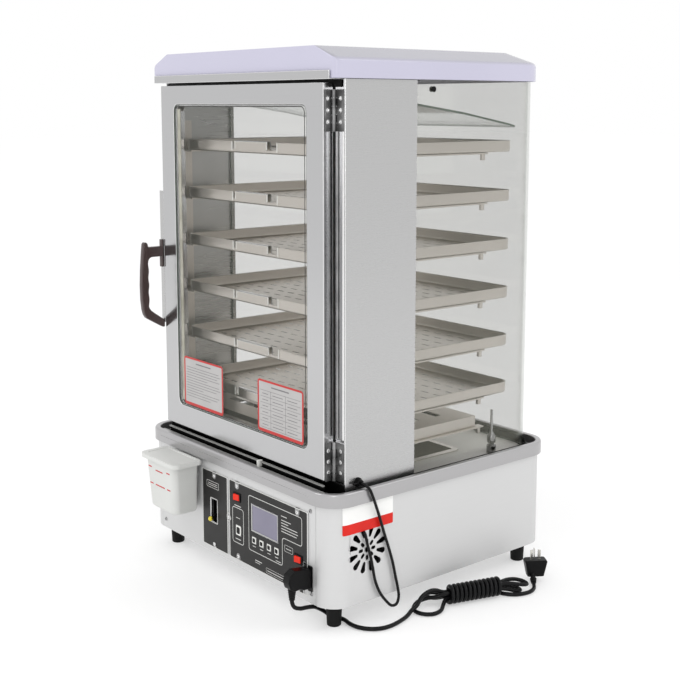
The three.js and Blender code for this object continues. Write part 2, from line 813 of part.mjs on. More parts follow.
function doorGasket() {
  const at = (inset) => ring(doorLeft + inset, doorRight - inset, doorBottom + inset, doorTop - inset,
    windowRadius);
  return upright(at(gasketInset), doorBack + clearance, cabinetFront - clearance,
    [at(gasketInset + gasketWidth)]);
}

// Butt hinges: knuckles alternate along one pin, which belongs to the frame leaf
const hingeX = doorRight + clearance + hingeLeaf + clearance + hingeRadius - hingeLeaf;
const hingeY = cabinetFront - clearance - hingeRadius;
const knuckle = hingeHeight / hingeKnuckles;

function frameLeaf() {
  const pieces = [];
  const back = cabinetFront - clearance;
  pieces.push(block([hingeX + hingeRadius + 2 * clearance, back - hingeLeaf, 0],
    [hingeX + hingeFrameLeafWidth, back, hingeHeight]));
  for (let k = 0; k < hingeKnuckles; k += 2) {
    const low = k * knuckle + (k > 0 ? clearance : 0);
    const high = (k + 1) * knuckle - (k + 1 < hingeKnuckles ? clearance : 0);
    pieces.push(block([hingeX, back - hingeLeaf, low], [hingeX + hingeRadius + hingeLeaf, back, high]));
    pieces.push(rod('z', hingeRadius, low, high, [hingeX, hingeY]));
  }
  pieces.push(rod('z', hingePinRadius, 0, hingeHeight, [hingeX, hingeY], 8));
  return join(...pieces);
}

function doorLeaf() {
  const left = doorRight + clearance;
  const pieces = [block([left, hingeY - hingeDoorLeafWidth, 0],
    [left + hingeLeaf, hingeY - hingeRadius - 2 * clearance, hingeHeight])];
  for (let k = 1; k < hingeKnuckles; k += 2) {
    const low = k * knuckle + clearance;
    const high = (k + 1) * knuckle - clearance;
    pieces.push(block([left, hingeY - hingeRadius - hingeLeaf, low], [left + hingeLeaf, hingeY, high]));
    pieces.push(rod('z', hingeRadius, low, high, [hingeX, hingeY]));
  }
  return carve(join(...pieces), rod('z', hingePinRadius + clearance, -overrun, hingeHeight + overrun,
    [hingeX, hingeY], 8));
}

// Strip on the door's left edge, which carries the handle
function handleStrip() {
  const right = doorLeft - clearance;
  const low = doorBottom + stripFoot;
  return join(
    block([right - stripWidth, doorFace, low], [right, doorFace + stripThickness, low + stripHeight]),
    block([right - stripThickness, doorFace, low], [right, doorBack, low + stripHeight]),
  );
}

// Door handle: a moulded grip with finger waves on a level upper arm and a slanting lower one
function doorHandle() {
  const at = ([out, up]) => [-out * handleReach, up * handleHeight];
  const profile = handleOuterShares.map(at);
  const [grip, low, high] = handleGripShares;
  const steps = handleWaves * cornerSteps;
  for (let i = 0; i <= steps; i += 1) {
    const along = i / steps;
    const dip = (handleWave * (1 - Math.cos(turn * handleWaves * along))) / 2;
    profile.push([dip - grip * handleReach, (low + (high - low) * along) * handleHeight]);
  }
  profile.push(...handleInnerShares.map(at));
  const bevel = { bevelEnabled: true, bevelThickness: handleBevel, bevelSize: handleBevel,
    bevelOffset: -handleBevel, bevelSegments: 1 };
  const depth = handleThickness - 2 * handleBevel;
  const body = new THREE.ExtrudeGeometry(outline(profile), { depth, ...bevel });
  return crosswise(body.translate(0, 0, -depth / 2)).translate(
    doorLeft - clearance - stripWidth / 2, doorFace - clearance, doorBottom + handleFoot);
}

// One steaming tray, about its own middle with its rim's top at z = 0
function tray() {
  const halfX = trayWidth / 2;
  const halfY = trayDepth / 2;
  const steps = cornerSteps - 1;
  const pan = prism(ring(-halfX, halfX, -halfY, halfY, trayRadius, trayRadius, steps), -trayRim, 0);
  const innerRadius = trayRadius - traySheet;
  const inside = prism(ring(-halfX + traySheet, halfX - traySheet, -halfY + traySheet, halfY - traySheet,
    innerRadius, innerRadius, steps), -trayRim + traySheet, overrun);
  const cutters = [inside];
  for (const side of [-1, 1]) {
    const x = side * (gripWidth + notchWidth) / 2;
    cutters.push(block([x - notchWidth / 2, -halfY - overrun, -notchDepth],
      [x + notchWidth / 2, -halfY + overrun, overrun]));
  }
  const slotLength = trayWidth * slotLengthShare;
  const pitchX = trayWidth / slotColumns;
  const pitchY = trayDepth / slotRows;
  for (let i = 0; i < slotColumns; i += 1) {
    for (let j = 0; j < slotRows; j += 1) {
      const x = (i - (slotColumns - 1) / 2) * pitchX;
      const y = (j - (slotRows - 1) / 2) * pitchY;
      cutters.push(block([x - slotLength / 2, y - slotWidth / 2, -trayRim - overrun],
        [x + slotLength / 2, y + slotWidth / 2, -trayRim + traySheet + overrun]));
    }
  }
  const front = -halfY - gripReach;
  const fold = block([-gripWidth / 2, front, gripRise - traySheet],
    [gripWidth / 2, -halfY + traySheet, gripRise]);
  const stand = block([-gripWidth / 2, -halfY, -notchDepth],
    [gripWidth / 2, -halfY + traySheet, gripRise]);
  const low = gripRise - gripHeight;
  const lip = upright([[-gripWidth / 2 + gripRadius, low], [gripWidth / 2 - gripRadius, low],
    [gripWidth / 2, low + gripRadius], [gripWidth / 2, gripRise], [-gripWidth / 2, gripRise],
    [-gripWidth / 2, low + gripRadius]], front, front + traySheet);
  return join(carve(pan, ...cutters), fold, stand, lip);
}

// A rack: a strip on the side panel with seven arms, each ending in a short round peg
function trayRack(side) {
  const wall = cabinetWidth / 2 - sheet - clearance;
  const front = cabinetFront + frameDepth + 2 * clearance;
  const armInner = trayWidth / 2 - rackArmOverlap;
  const pieces = [block([wall - rackThickness, front, dripTrayTop - dripTrayHeight - pegLength],
    [wall, front + rackStripWidth, rackTop])];
  const tops = [dripTrayTop - dripTrayHeight - clearance];
  for (let k = 0; k < trayCount; k += 1) tops.push(lowestTrayTop + k * trayPitch - trayRim - clearance);
  for (const top of tops) {
    const low = top - rackThickness;
    pieces.push(block([armInner, front, low], [wall - rackThickness / 2, front + rackStripWidth, top]));
    pieces.push(block([armInner, front, low], [armInner + rackArmWidth, front + rackArmReach, top]));
    pieces.push(rod('z', pegRadius, low - pegLength, low + rackThickness / 2,
      [armInner + rackArmWidth / 2, front + rackArmReach - pegInset], 8));
  }
  const shelf = cabinetTop - shieldDrop - shieldThickness - clearance;
  pieces.push(block([wall - rackThickness, front, rackTop - rackThickness],
    [wall, front + rackStripWidth / 2, shelf]));
  pieces.push(block([shieldWidth / 2 - rackArmWidth, front, shelf - rackThickness],
    [wall - rackThickness / 2, front + rackStripWidth / 2, shelf]));
  const rack = join(...pieces);
  return side > 0 ? rack : geometryOf(solid(rack).mirror([1, 0, 0]));
}

// Drip tray over the water: a flanged plate with steam slots
function dripTray() {
  const half = dripTrayWidth / 2;
  const rear = dripTrayFront + dripTrayDepth;
  const low = dripTrayTop - dripTrayHeight;
  const cutters = [block([-half + sheet, dripTrayFront + sheet, low - overrun],
    [half - sheet, rear - sheet, dripTrayTop - sheet])];
  const pitchY = dripTrayDepth / (dripSlots + 1);
  for (let i = 1; i <= dripSlots; i += 1) {
    for (const side of [-1, 1]) {
      const x = (side * dripTrayWidth) / 4;
      const y = dripTrayFront + i * pitchY;
      cutters.push(block([x - dripSlotLength / 2, y - dripSlotWidth / 2, low],
        [x + dripSlotLength / 2, y + dripSlotWidth / 2, dripTrayTop + overrun]));
    }
  }
  return carve(block([-half, dripTrayFront, low], [half, rear, dripTrayTop]), ...cutters);
}

// Relief fitting: two nuts and a stem on the deck
function reliefValve() {
  const profile = reliefOutlineShares.map(([r, z]) => new THREE.Vector2(r * reliefRadius, z * reliefHeight));
  return new THREE.LatheGeometry(profile, 12).rotateX(quarter)
    .translate(reliefX, reliefY, deckTop + clearance);
}

// Level probe: a white block on a stem from the deck, with a ring at its front end
function levelProbe() {
  const z = deckTop + probeLift;
  const body = block([probeX - probeDepth / 2, probeY, z],
    [probeX + probeDepth / 2, probeY + probeLength, z + probeHeight]);
  const stem = rod('z', probeStem, deckTop + clearance, z + probeHeight / 2,
    [probeX, probeY + probeLength - probeStem * 2]);
  const ringZ = z + probeRing / 2;
  const loop = rod('x', probeRing, probeX - probeStem / 2, probeX + probeStem / 2, [probeY, ringZ]);
  const eye = rod('x', probeRing / 2, probeX - overrun, probeX + overrun, [probeY - probeRing / 4, ringZ], 8);
  return carve(join(body, stem, loop), eye);
}

// Dark front panels with round notches for their screws
function screwNotches(left, places) {
  return places.map(([x, z]) => rod('y', screwNotchRadius, panelFace - overrun, panelBack + overrun,
    [left + x, panelBottom + z], 10));
}

function fillerPanel() {
  const plate = upright(ring(fillerPanelLeft, fillerPanelLeft + fillerPanelWidth, panelBottom,
    panelBottom + panelHeight, panelRadius, panelRadius, 2), panelFace, panelBack);
  const slot = block([valveX - fillSlot[0] / 2, panelFace - overrun, valveHeight - fillSlot[1] / 2],
    [valveX + fillSlot[0] / 2, panelBack + overrun, valveHeight + fillSlot[1] / 2]);
  return carve(plate, slot, ...screwNotches(fillerPanelLeft, fillerNotches));
}

function controlPanel() {
  const right = controlPanelLeft + controlPanelWidth;
  const plate = upright(ring(controlPanelLeft, right, panelBottom, panelBottom + panelHeight, panelRadius,
    panelRadius, 2), panelFace, panelBack);
  const window = (x, z, width, height) => block([x - width / 2, panelFace - overrun, z - height / 2],
    [x + width / 2, panelBack + overrun, z + height / 2]);
  const gap = 2 * clearance;
  const cutters = rockerPlaces.map(([x, z]) =>
    window(x, z, rockerHousing[0] + gap, rockerHousing[1] + gap));
  cutters.push(window(...displayCentre, displaySize[0] + gap, displaySize[1] + gap));
  cutters.push(window(...setKeyPlace, setKeySize[0] + gap, setKeySize[1] + gap));
  for (let k = 0; k < keyCount; k += 1) {
    cutters.push(window(keyLeft + k * keyPitch, keyHeight, keySize + gap, keySize + gap));
  }
  const inletTop = inletHeight + inletFlange[1] / 2 + panelRadius;
  cutters.push(block([inletX - inletFlange[0] / 2 - panelRadius, panelFace - overrun, panelBottom - overrun],
    [right + overrun, panelBack + overrun, inletTop]));
  return carve(plate, ...cutters, ...screwNotches(controlPanelLeft, controlNotches));
}

// Filling valve behind its panel: a block with two cheeks and the lever's pin
const pivotY = panelBack + valvePivotDepth;

function fillValve() {
  const [width, depth, height] = valveBody;
  const front = panelBack + clearance;
  const body = block([valveX - width / 2, front, valveHeight - height / 2],
    [valveX + width / 2, front + depth, valveHeight + height / 2]);
  const cavity = block([valveX - valveCheekGap / 2, front - overrun, valveHeight - height / 2 - overrun],
    [valveX + valveCheekGap / 2, front + valveCavityDepth, valveHeight + height / 2 + overrun]);
  const reach = valveCheekGap / 2 + hookThickness;
  return join(carve(body, cavity), rod('x', valvePinRadius, valveX - reach, valveX + reach,
    [pivotY, valveHeight], 8));
}

function fillLever() {
  const half = leverHubWidth / 2;
  const hub = rod('x', leverHub, -half, half, [0, 0], 14);
  const arm = block([-leverArm / 2, -leverLength, -leverArm / 2], [leverArm / 2, 0, leverArm / 2]);
  const knob = new THREE.SphereGeometry(leverKnob, 10, 6).translate(0, -leverLength - leverKnob / 2, 0);
  const bore = rod('x', valvePinRadius + clearance, -half - overrun, half + overrun, [0, 0], 8);
  return carve(join(hub, arm, knob), bore).rotateX(leverRest);
}

// Rocker switch housing and its paddle; the paddle rocks left and right
function rockerHousingSolid([x, z]) {
  const bezelFront = panelFace - clearance - rockerBezelThickness;
  const [width, height, depth] = rockerHousing;
  const bezel = block([x - rockerBezel[0] / 2, bezelFront, z - rockerBezel[1] / 2],
    [x + rockerBezel[0] / 2, panelFace - clearance, z + rockerBezel[1] / 2]);
  const body = block([x - width / 2, bezelFront, z - height / 2],
    [x + width / 2, bezelFront + depth, z + height / 2]);
  const hole = block([x - rockerOpening[0] / 2, bezelFront - overrun, z - rockerOpening[1] / 2],
    [x + rockerOpening[0] / 2, bezelFront + depth - sheet, z + rockerOpening[1] / 2]);
  return carve(join(bezel, body), hole);
}

function rockerPaddleSolid() {
  const half = rockerPaddle[0] / 2;
  const [high, middle, low] = rockerProud.map((value) => -value - rockerPivotDepth);
  const points = [[-half, high], [0, middle], [half, low], [half, rockerHeel], [-half, rockerHeel]];
  return prism(points, -rockerPaddle[1] / 2, rockerPaddle[1] / 2);
}

// Display with its circuit board, which also backs the keys
function displayModule() {
  const face = panelFace + displayRecess;
  const board = panelBack + boardDepth;
  const screen = block([displayCentre[0] - displaySize[0] / 2, face, displayCentre[1] - displaySize[1] / 2],
    [displayCentre[0] + displaySize[0] / 2, board + boardThickness, displayCentre[1] + displaySize[1] / 2]);
  const card = block([boardCentre[0] - boardSize[0] / 2, board, boardCentre[1] - boardSize[1] / 2],
    [boardCentre[0] + boardSize[0] / 2, board + boardThickness, boardCentre[1] + boardSize[1] / 2]);
  return join(screen, card);
}

function keyCap(width, height) {
  return upright(ring(-width / 2, width / 2, -height / 2, height / 2, keyRadius, keyRadius, 2),
    panelFace - keyProud, panelBack + keyStem);
}

// Mains inlet with its three pins, and the right-angle connector plugged into it
const inletFace = panelFace;

function powerInlet() {
  const [width, height, depth] = inletBody;
  const flange = upright(ring(inletX - inletFlange[0] / 2, inletX + inletFlange[0] / 2,
    inletHeight - inletFlange[1] / 2, inletHeight + inletFlange[1] / 2, panelRadius, panelRadius, 2),
  inletFace, panelBack);
  const body = block([inletX - width / 2, inletFace, inletHeight - height / 2],
    [inletX + width / 2, inletFace + depth, inletHeight + height / 2]);
  const cavity = block([inletX - inletCavity[0] / 2, inletFace - overrun, inletHeight - inletCavity[1] / 2],
    [inletX + inletCavity[0] / 2, inletFace + inletCavity[2], inletHeight + inletCavity[1] / 2]);
  const root = inletFace + inletCavity[2];
  const pins = inletPinOffsets.map(([x, z]) => block(
    [inletX + x - inletPin[0] / 2, root - inletPin[2], inletHeight + z - inletPin[1] / 2],
    [inletX + x + inletPin[0] / 2, root + sheet, inletHeight + z + inletPin[1] / 2]));
  return join(carve(join(flange, body), cavity), ...pins);
}

function mainsConnector() {
  const shape = outline(connectorOutlineShares.map(([out, up]) =>
    [-out * connectorReach, up * connectorHeight]));
  const depth = connectorWidth - 2 * connectorBevel;
  const bevelled = new THREE.ExtrudeGeometry(shape, { depth, bevelEnabled: true, bevelSegments: 1,
    bevelThickness: connectorBevel, bevelSize: connectorBevel, bevelOffset: -connectorBevel });
  const body = crosswise(bevelled.translate(0, 0, -depth / 2))
    .translate(inletX, inletFace - clearance, inletHeight);
  const [width, height, length] = connectorNose;
  const nose = block([inletX - width / 2, inletFace - clearance - overrun, inletHeight - height / 2],
    [inletX + width / 2, inletFace + length, inletHeight + height / 2]);
  const slots = inletPinOffsets.map(([x, z]) => {
    const halfX = inletPin[0] / 2 + inletWallGap;
    const halfZ = inletPin[1] / 2 + inletWallGap;
    return block([inletX + x - halfX, inletFace + length - inletPin[2], inletHeight + z - halfZ],
      [inletX + x + halfX, inletFace + length + overrun, inletHeight + z + halfZ]);
  });
  const neckTop = inletHeight - connectorNeck[0];
  const neck = new THREE.CylinderGeometry(...connectorNeck, connectorNeckDrop - connectorNeck[0], 12)
    .rotateX(quarter).translate(inletX, inletFace - clearance - connectorNeckReach,
      (neckTop + inletHeight - connectorNeckDrop) / 2);
  return join(carve(nose, ...slots), body, neck);
}

// Filling box with its hooks, and its lid
function fillBox() {
  const at = (size, z, wall) => level(ring(-size[0] / 2 + wall, size[0] / 2 - wall,
    -size[1] + wall, -wall, fillBoxRadius - wall, fillBoxRadius / 2 - wall, 3), z);
  const shell = loft([at(fillBoxBottom, fillBoxWall, fillBoxWall), at(fillBoxTop, fillBoxHeight, fillBoxWall),
    at(fillBoxTop, fillBoxHeight, 0), at(fillBoxBottom, 0, 0)].toReversed());
  const pieces = [shell.translate(fillBoxX, fillBoxBack, fillBoxBase)];
  const plateBack = bodyFront + sheet + clearance;
  for (const side of [-1, 1]) {
    const x = fillBoxX + (side * hookPitch) / 2;
    pieces.push(block([x - hookWidth / 2, fillBoxBack - fillBoxWall / 2, hookHeight - hookThickness],
      [x + hookWidth / 2, plateBack + hookTip, hookHeight]));
    pieces.push(block([x - hookWidth / 2, plateBack, hookHeight - hookDrop],
      [x + hookWidth / 2, plateBack + hookTip, hookHeight]));
  }
  const [ribWidth, ribHeight] = restRib;
  pieces.push(block([fillBoxX - ribWidth / 2, fillBoxBack - fillBoxWall / 2, fillBoxBase + ribHeight / 2],
    [fillBoxX + ribWidth / 2, bodyFront - clearance, fillBoxBase + ribHeight]));
  return join(...pieces);
}

function fillLid() {
  const [width, depth] = fillLidSize;
  const low = fillBoxBase + fillBoxHeight + clearance;
  const plug = fillBoxWall + clearance;
  const at = (inset, z) => level(ring(-width / 2 + inset, width / 2 - inset, -depth + inset, -inset / 2,
    fillLidRadius - inset, fillLidRadius / 2, 3), z);
  const cap = loft([at(0, low), at(0, low + fillLidThickness - hookSlotSide * 2),
    at(hookSlotSide * 2, low + fillLidThickness)]);
  const insert = prism(ring(-fillBoxTop[0] / 2 + 2 * plug, fillBoxTop[0] / 2 - 2 * plug,
    -fillBoxTop[1] + 2 * plug, -2 * plug, fillBoxRadius / 2, fillBoxRadius / 2, 2),
  low - fillLidPlug, low + fillLidPlug);
  return join(cap, insert).translate(fillBoxX, fillBoxBack, 0);
}

// Gland in the side panel: flange, knob and the probe stub beside it
function sensorGland() {
  const x = cabinetWidth / 2 + clearance;
  const z = glandHeight;
  const inner = glandKnob[0] - 3 * clearance;
  return join(
    rod('x', glandFlange[0], x, x + glandFlange[1], [glandY, z], 14),
    rod('x', inner, x - sheet - 3 * glandFlange[1], x + glandFlange[1], [glandY, z]),
    rod('x', glandKnob[0], x, x + glandFlange[1] + glandKnob[1], [glandY, z]),
    rod('y', glandStub[0], glandY - glandStub[1] - glandStub[0], glandY,
      [x + glandFlange[1] + glandKnob[1] / 2, z], 8),
  );
}

// Routes of the two leads, point by point
const sensorRoute = [[308, -214, 273], [312, -213.9, 272.9], [318.5, -212, 271], [324.5, -208, 264.5],
  [326.6, -203, 252], [324.8, -192, 228], [321, -180, 203], [320, -168, 170], [320, -157, 140],
  [320, -147, 110], [320, -140, 82], [321, -134, 55], [322, -132.5, 38], [322.5, -138, 25.5],
  [322.5, -150, 25], [322, -166, 40], [321, -180, 60], [320, -190, 84], [319.5, -196, 112],
  [319.5, -201, 133], [319.5, -208, 156], [320, -212.6, 172], [319, -213.9, 179.5], [314.5, -213.9, 181.8],
  [306, -213.9, 181.8]];
const mainsRoute = [[250, -330.6, 65.7], [250, -330.6, 58], [250.3, -326, 47], [251, -313, 40.5],
  [251.5, -297, 38.5], [252, -280, 35], [252.5, -262, 24], [254, -246, 11], [262, -234, 5.2],
  [278, -230, 4.5], [300, -233, 4.5], [321, -230, 4.5], [340, -217, 4.5], [351, -198, 4.5],
  [353, -176, 4.5], [348, -148, 4.6], [343, -129, 6], [337.5, -113, 10]];

// The hank's own frame: along it, across it and up
const hankDirection = new THREE.Vector3(hankEnd[0] - hankStart[0], hankEnd[1] - hankStart[1], 0).normalize();
const hankAcross = new THREE.Vector3(hankDirection.y, -hankDirection.x, 0);
const wrapRadius = coreSpacing / Math.SQRT2 + 2 * mainsRadius + coreGap;
const hankHeight = wrapRadius + mainsRadius + clearance;
const hankPoint = ([along, across, up]) => new THREE.Vector3(hankStart[0], hankStart[1], hankHeight + up)
  .addScaledVector(hankDirection, along).addScaledVector(hankAcross, across);

// The lead's folds inside the hank and its tail, as [along, across, up] in that frame
const foldRoute = [[-67, 13, -4], [-54, 4, 5], [-40, -2, 10], [-27, -4.5, 12], [-16, -4.6, 10.5],
  [-7, -4.4, 6.5], [2, -4.3, 4.4], [14, -4.3, 4.3], [62, -4.3, 4.3], [112, -4.3, 4.3], [122, -4.4, 4.4],
  [131, -6.2, 5.2], [144, -9.5, 5], [164, -12, 1.5], [178, -6, -2.5], [179, 6, -3.5], [166, 12, -0.5],
  [145, 9.5, 3.8], [132, 6.2, 4.8], [122, 4.5, 4.4], [112, 4.3, 4.3], [62, 4.3, 4.3], [14, 4.3, 4.3],
  [2, 4.3, 4.2], [-9, 3.9, 3], [-20, 0, -0.5], [-33, -8, -3.5], [-50, -13, -9], [-66, -3, -13.6],
  [-71, 14, -14.8], [-62, 31, -14.8], [-44, 38, -14.8], [-25, 31, -14], [-12, 16, -10], [-3, 7, -6],
  [4, 4.5, -4.4], [14, 4.3, -4.3], [62, 4.3, -4.3], [110, 4.3, -4.3], [120, 4.5, -4.6], [130, 5.8, -6],
  [142, 8.5, -9], [154, 10, -13], [165, 4, -14.8], [165.5, -7, -14.8], [155, -14, -13], [142, -10.5, -9],
  [130, -6.2, -6], [120, -4.5, -4.6], [110, -4.3, -4.3], [62, -4.3, -4.3], [14, -4.3, -4.3],
  [2, -4.5, -4.4], [-9, -7, -5.5], [-19, -13.5, -6.5], [-21, -23, -6], [-12, -28, -5.5], [-2, -23.5, -6]];
const tailRoute = [[122, 0.5, -15], [128, 9, -14.8], [137, 16, -14.8], [148, 20.5, -14.8], [163, 22, -14.8],
  [181, 18, -14.8], [195, 7, -14.8], [203, -6, -14.4], [207, -14, -12], [210, -20.5, -7.5]];
const foldSteps = 150;
const tailSteps = 18;

function curve(points, steps) {
  const line = new THREE.CatmullRomCurve3(points, false, 'centripetal');
  line.arcLengthDivisions = 20 * steps;
  return line.getSpacedPoints(steps);
}

// One unbroken centreline: folded to and fro four times, then wound round itself to its tail
function hankCentreline() {
  const lead = vectors(mainsRoute.slice(-2));
  const first = lead[1].clone().addScaledVector(lead[1].clone().sub(lead[0]).normalize(), clearance);
  const wraps = [];
  for (let i = 0; i <= wrapTurns * wrapSteps; i += 1) {
    const angle = wrapStart + (turn * i) / wrapSteps;
    wraps.push(hankPoint([wrapInset + (wrapPitch * i) / wrapSteps, wrapRadius * Math.cos(angle),
      wrapRadius * Math.sin(angle)]));
  }
  const straight = lead[1].clone().sub(lead[0]).normalize().multiplyScalar(2 * mainsRadius).add(first);
  const folds = curve([first, straight, ...foldRoute.map(hankPoint), wraps[0], wraps[1]], foldSteps);
  const tail = curve([wraps.at(-2), wraps.at(-1), ...tailRoute.map(hankPoint)], tailSteps);
  return [...folds.slice(0, -2), ...wraps, ...tail.slice(2)];
}

// The least clear distance between stretches of the tube that aren't neighbours
function leastGap(points, radius) {
  const reach = points.map(() => 0);
  for (let i = 1; i < points.length; i += 1) reach[i] = reach[i - 1] + points[i].distanceTo(points[i - 1]);
  let least = Infinity;
  let place = 0;
  for (let i = 0; i < points.length; i += 1) {
    for (let j = i + 1; j < points.length; j += 1) {
      const gap = points[i].distanceTo(points[j]) - 2 * radius;
      if (reach[j] - reach[i] > turn * radius && gap < least) {
        least = gap;
        place = i;
      }
    }
  }
  return [least, place];
}

const hankLine = hankCentreline();
const [hankGap, hankPlace] = leastGap(hankLine, mainsRadius);
const gapPlace = `at point ${hankPlace} of ${hankLine.length}`;
console.log(`least gap in the wound lead ${hankGap.toFixed(2)} mm`, gapPlace);

// Plug at the end of the lead, standing on its cord end with its pins up
function mainsPlug() {
  const end = hankLine.at(-1);
  const way = end.clone().sub(hankLine.at(-2)).normalize();
  const face = end.clone().addScaledVector(way, clearance);
  const [wide, narrow, length] = plugNeck;
  const neck = new THREE.CylinderGeometry(wide, narrow, length, 10)
    .translate(0, length / 2, 0).applyQuaternion(new THREE.Quaternion().setFromUnitVectors(
      new THREE.Vector3(0, 1, 0), way)).translate(...face.toArray());
  const at = ([width, depth], z) => level(ring(-width / 2, width / 2, -depth / 2, depth / 2, plugRadius,
    plugRadius, 3), z);
  const place = (geometry) => geometry.rotateZ(plugTurn).translate(...plugCentre, plugBase);
  const body = place(loft([at(plugBottom, 0), at(plugTop, plugHeight * plugShoulderShare),
    at(plugTop.map((size) => size - plugRadius), plugHeight)]));
  const pin = (x, y, angle) => {
    const [width, thickness, reach] = pinSize;
    return place(block([-width / 2, -thickness / 2, plugHeight - sheet],
      [width / 2, thickness / 2, plugHeight + reach]).rotateZ(angle).translate(x, y, 0));
  };
  return join(neck, body, pin(-pinSpread, 0, pinSlant), pin(pinSpread, 0, -pinSlant),
    pin(0, earthPinOffset, quarter));
}

// Everything in its place
add('base_wrap', baseWrap(), steel);
add('front_plate', frontPlate(), steel);
const floorInset = sheet + clearance;
add('base_floor', prism(ring(floorInset - bodyWidth / 2, bodyWidth / 2 - floorInset,
  floorInset - bodyDepth / 2, bodyDepth / 2 - floorInset, bodyRadius - floorInset, bodyRadius - floorInset,
  fineSteps),
footHeight + sheet + clearance, footHeight + sheet + clearance + floorThickness), steel);
const footX = bodyWidth / 2 - footInset;
const footY = bodyDepth / 2 - footInset;
for (const [name, x, y] of [['foot_front_left', -footX, -footY], ['foot_front_right', footX, -footY],
  ['foot_rear_left', -footX, footY], ['foot_rear_right', footX, footY]]) {
  add(name, foot().translate(x, y, 0), blackRubber);
}
add('top_pan', topPan(), steel);
add('water_tank', waterTank(), steel);
add('heating_element', heatingElement(), brass);
add('drip_tray', dripTray(), traySteel);
add('relief_valve', reliefValve(), polishedSteel);
add('level_probe', levelProbe(), whitePlastic);
add('filler_panel', fillerPanel(), panelFilm);
add('fill_valve', fillValve(), blackPlastic);
add('fill_lever', fillLever().translate(valveX, pivotY, valveHeight), yellowPlastic);
add('control_panel', controlPanel(), panelFilm);
add('display_module', displayModule(), screenGrey);
['heater', 'power'].forEach((name, i) => {
  const [x, z] = rockerPlaces[i];
  add(`${name}_switch_housing`, rockerHousingSolid([x, z]), blackPlastic);
  add(`${name}_rocker`, rockerPaddleSolid().translate(x,
    panelFace - clearance - rockerBezelThickness + rockerPivotDepth, z), redPlastic);
});
add('set_key', keyCap(...setKeySize).translate(setKeyPlace[0], 0, setKeyPlace[1]), whitePlastic);
for (let k = 0; k < keyCount; k += 1) {
  add(`key_${k + 1}`, keyCap(keySize, keySize).translate(keyLeft + k * keyPitch, 0, keyHeight), whitePlastic);
}
add('power_inlet', powerInlet(), blackPlastic);
add('mains_connector', mainsConnector(), blackPlastic);
add('water_box', fillBox(), whitePlastic);
add('water_box_lid', fillLid(), whitePlastic);

add('left_side_panel', sidePanel(-1), steel);
add('right_side_panel', sidePanel(1), steel);
add('front_frame', frontFrame(), steel);
add('bent_glass', bentGlass(), clearGlass);
add('glass_plug', glassPlug(), blackRubber);
add('lid', lid(), lidPlastic);
add('condensate_shield', condensateShield(), clearGlass);
add('left_tray_rack', trayRack(-1), steel);
add('right_tray_rack', trayRack(1), steel);
for (let k = 0; k < trayCount; k += 1) {
  const trayTop = lowestTrayTop + k * trayPitch;
  add(`tray_${k + 1}`, tray().translate(0, trayFront + trayDepth / 2, trayTop), traySteel);
}

add('door_frame', doorFrame(), steel);
add('door_glass', doorGlass(), clearGlass);
add('door_gasket', doorGasket(), blackRubber);
add('handle_strip', handleStrip(), steel);
add('door_handle', doorHandle(), brownPlastic);
['lower', 'upper'].forEach((name, i) => {
  const inset = hingeEndInset[i];
  const low = i === 0 ? doorBottom + inset : doorTop - inset - hingeHeight;
  add(`${name}_frame_leaf`, frameLeaf().translate(0, 0, low), polishedSteel);
  add(`${name}_door_leaf`, doorLeaf().translate(0, 0, low), polishedSteel);
});

add('sensor_gland', sensorGland(), blackRubber);
add('sensor_cord', tube(smooth(sensorRoute, 44), sensorRadius, cordSides), blackRubber);
add('mains_cord', tube(smooth(mainsRoute, 34), mainsRadius, cordSides), blackRubber);
add('mains_hank', tube(hankLine, mainsRadius, hankSides), blackRubber);
add('mains_plug', mainsPlug(), blackPlastic);

export default unit;
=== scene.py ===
# Bun steamer cabinet: the looks of each piece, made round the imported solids.
# Sizes are written in millimetres and turned to metres by MM; +Z up, the front towards -Y.
import math

import bmesh
import bpy
from mathutils import Matrix, Vector
from mathutils.geometry import interpolate_bezier


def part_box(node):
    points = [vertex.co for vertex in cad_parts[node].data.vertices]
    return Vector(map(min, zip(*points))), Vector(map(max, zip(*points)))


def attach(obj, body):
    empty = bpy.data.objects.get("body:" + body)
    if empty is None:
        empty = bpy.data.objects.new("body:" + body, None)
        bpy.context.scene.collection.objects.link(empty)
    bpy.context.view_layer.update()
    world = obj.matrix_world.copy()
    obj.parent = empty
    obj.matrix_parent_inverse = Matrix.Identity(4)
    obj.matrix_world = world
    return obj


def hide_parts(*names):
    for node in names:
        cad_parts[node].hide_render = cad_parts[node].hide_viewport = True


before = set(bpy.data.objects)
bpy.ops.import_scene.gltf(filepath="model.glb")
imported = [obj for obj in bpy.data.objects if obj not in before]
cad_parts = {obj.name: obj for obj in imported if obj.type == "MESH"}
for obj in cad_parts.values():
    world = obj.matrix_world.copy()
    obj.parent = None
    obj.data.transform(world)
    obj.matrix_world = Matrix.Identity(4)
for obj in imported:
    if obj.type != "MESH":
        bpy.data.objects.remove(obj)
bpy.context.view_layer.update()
MM = 0.001
WELD = 0.003 * MM  # points nearer to each other than this are joined
ON_CUT = 0.0001 * MM  # points nearer to a cut than this are taken to lie on it


# The camera stands off the front right corner, level with the lid, and looks a
# little down, with the small upward shift of a product photograph.
camera = bpy.data.objects.new("camera", bpy.data.cameras.new("camera"))
camera.data.sensor_width = 36
camera.data.lens = 61.96
camera.data.shift_y = -0.1
camera.location = (1.8778, -1.5187, 0.9576)
camera.rotation_euler = (math.radians(90 - 8.115), 0, math.radians(50.607))
bpy.context.scene.collection.objects.link(camera)
bpy.context.scene.camera = camera


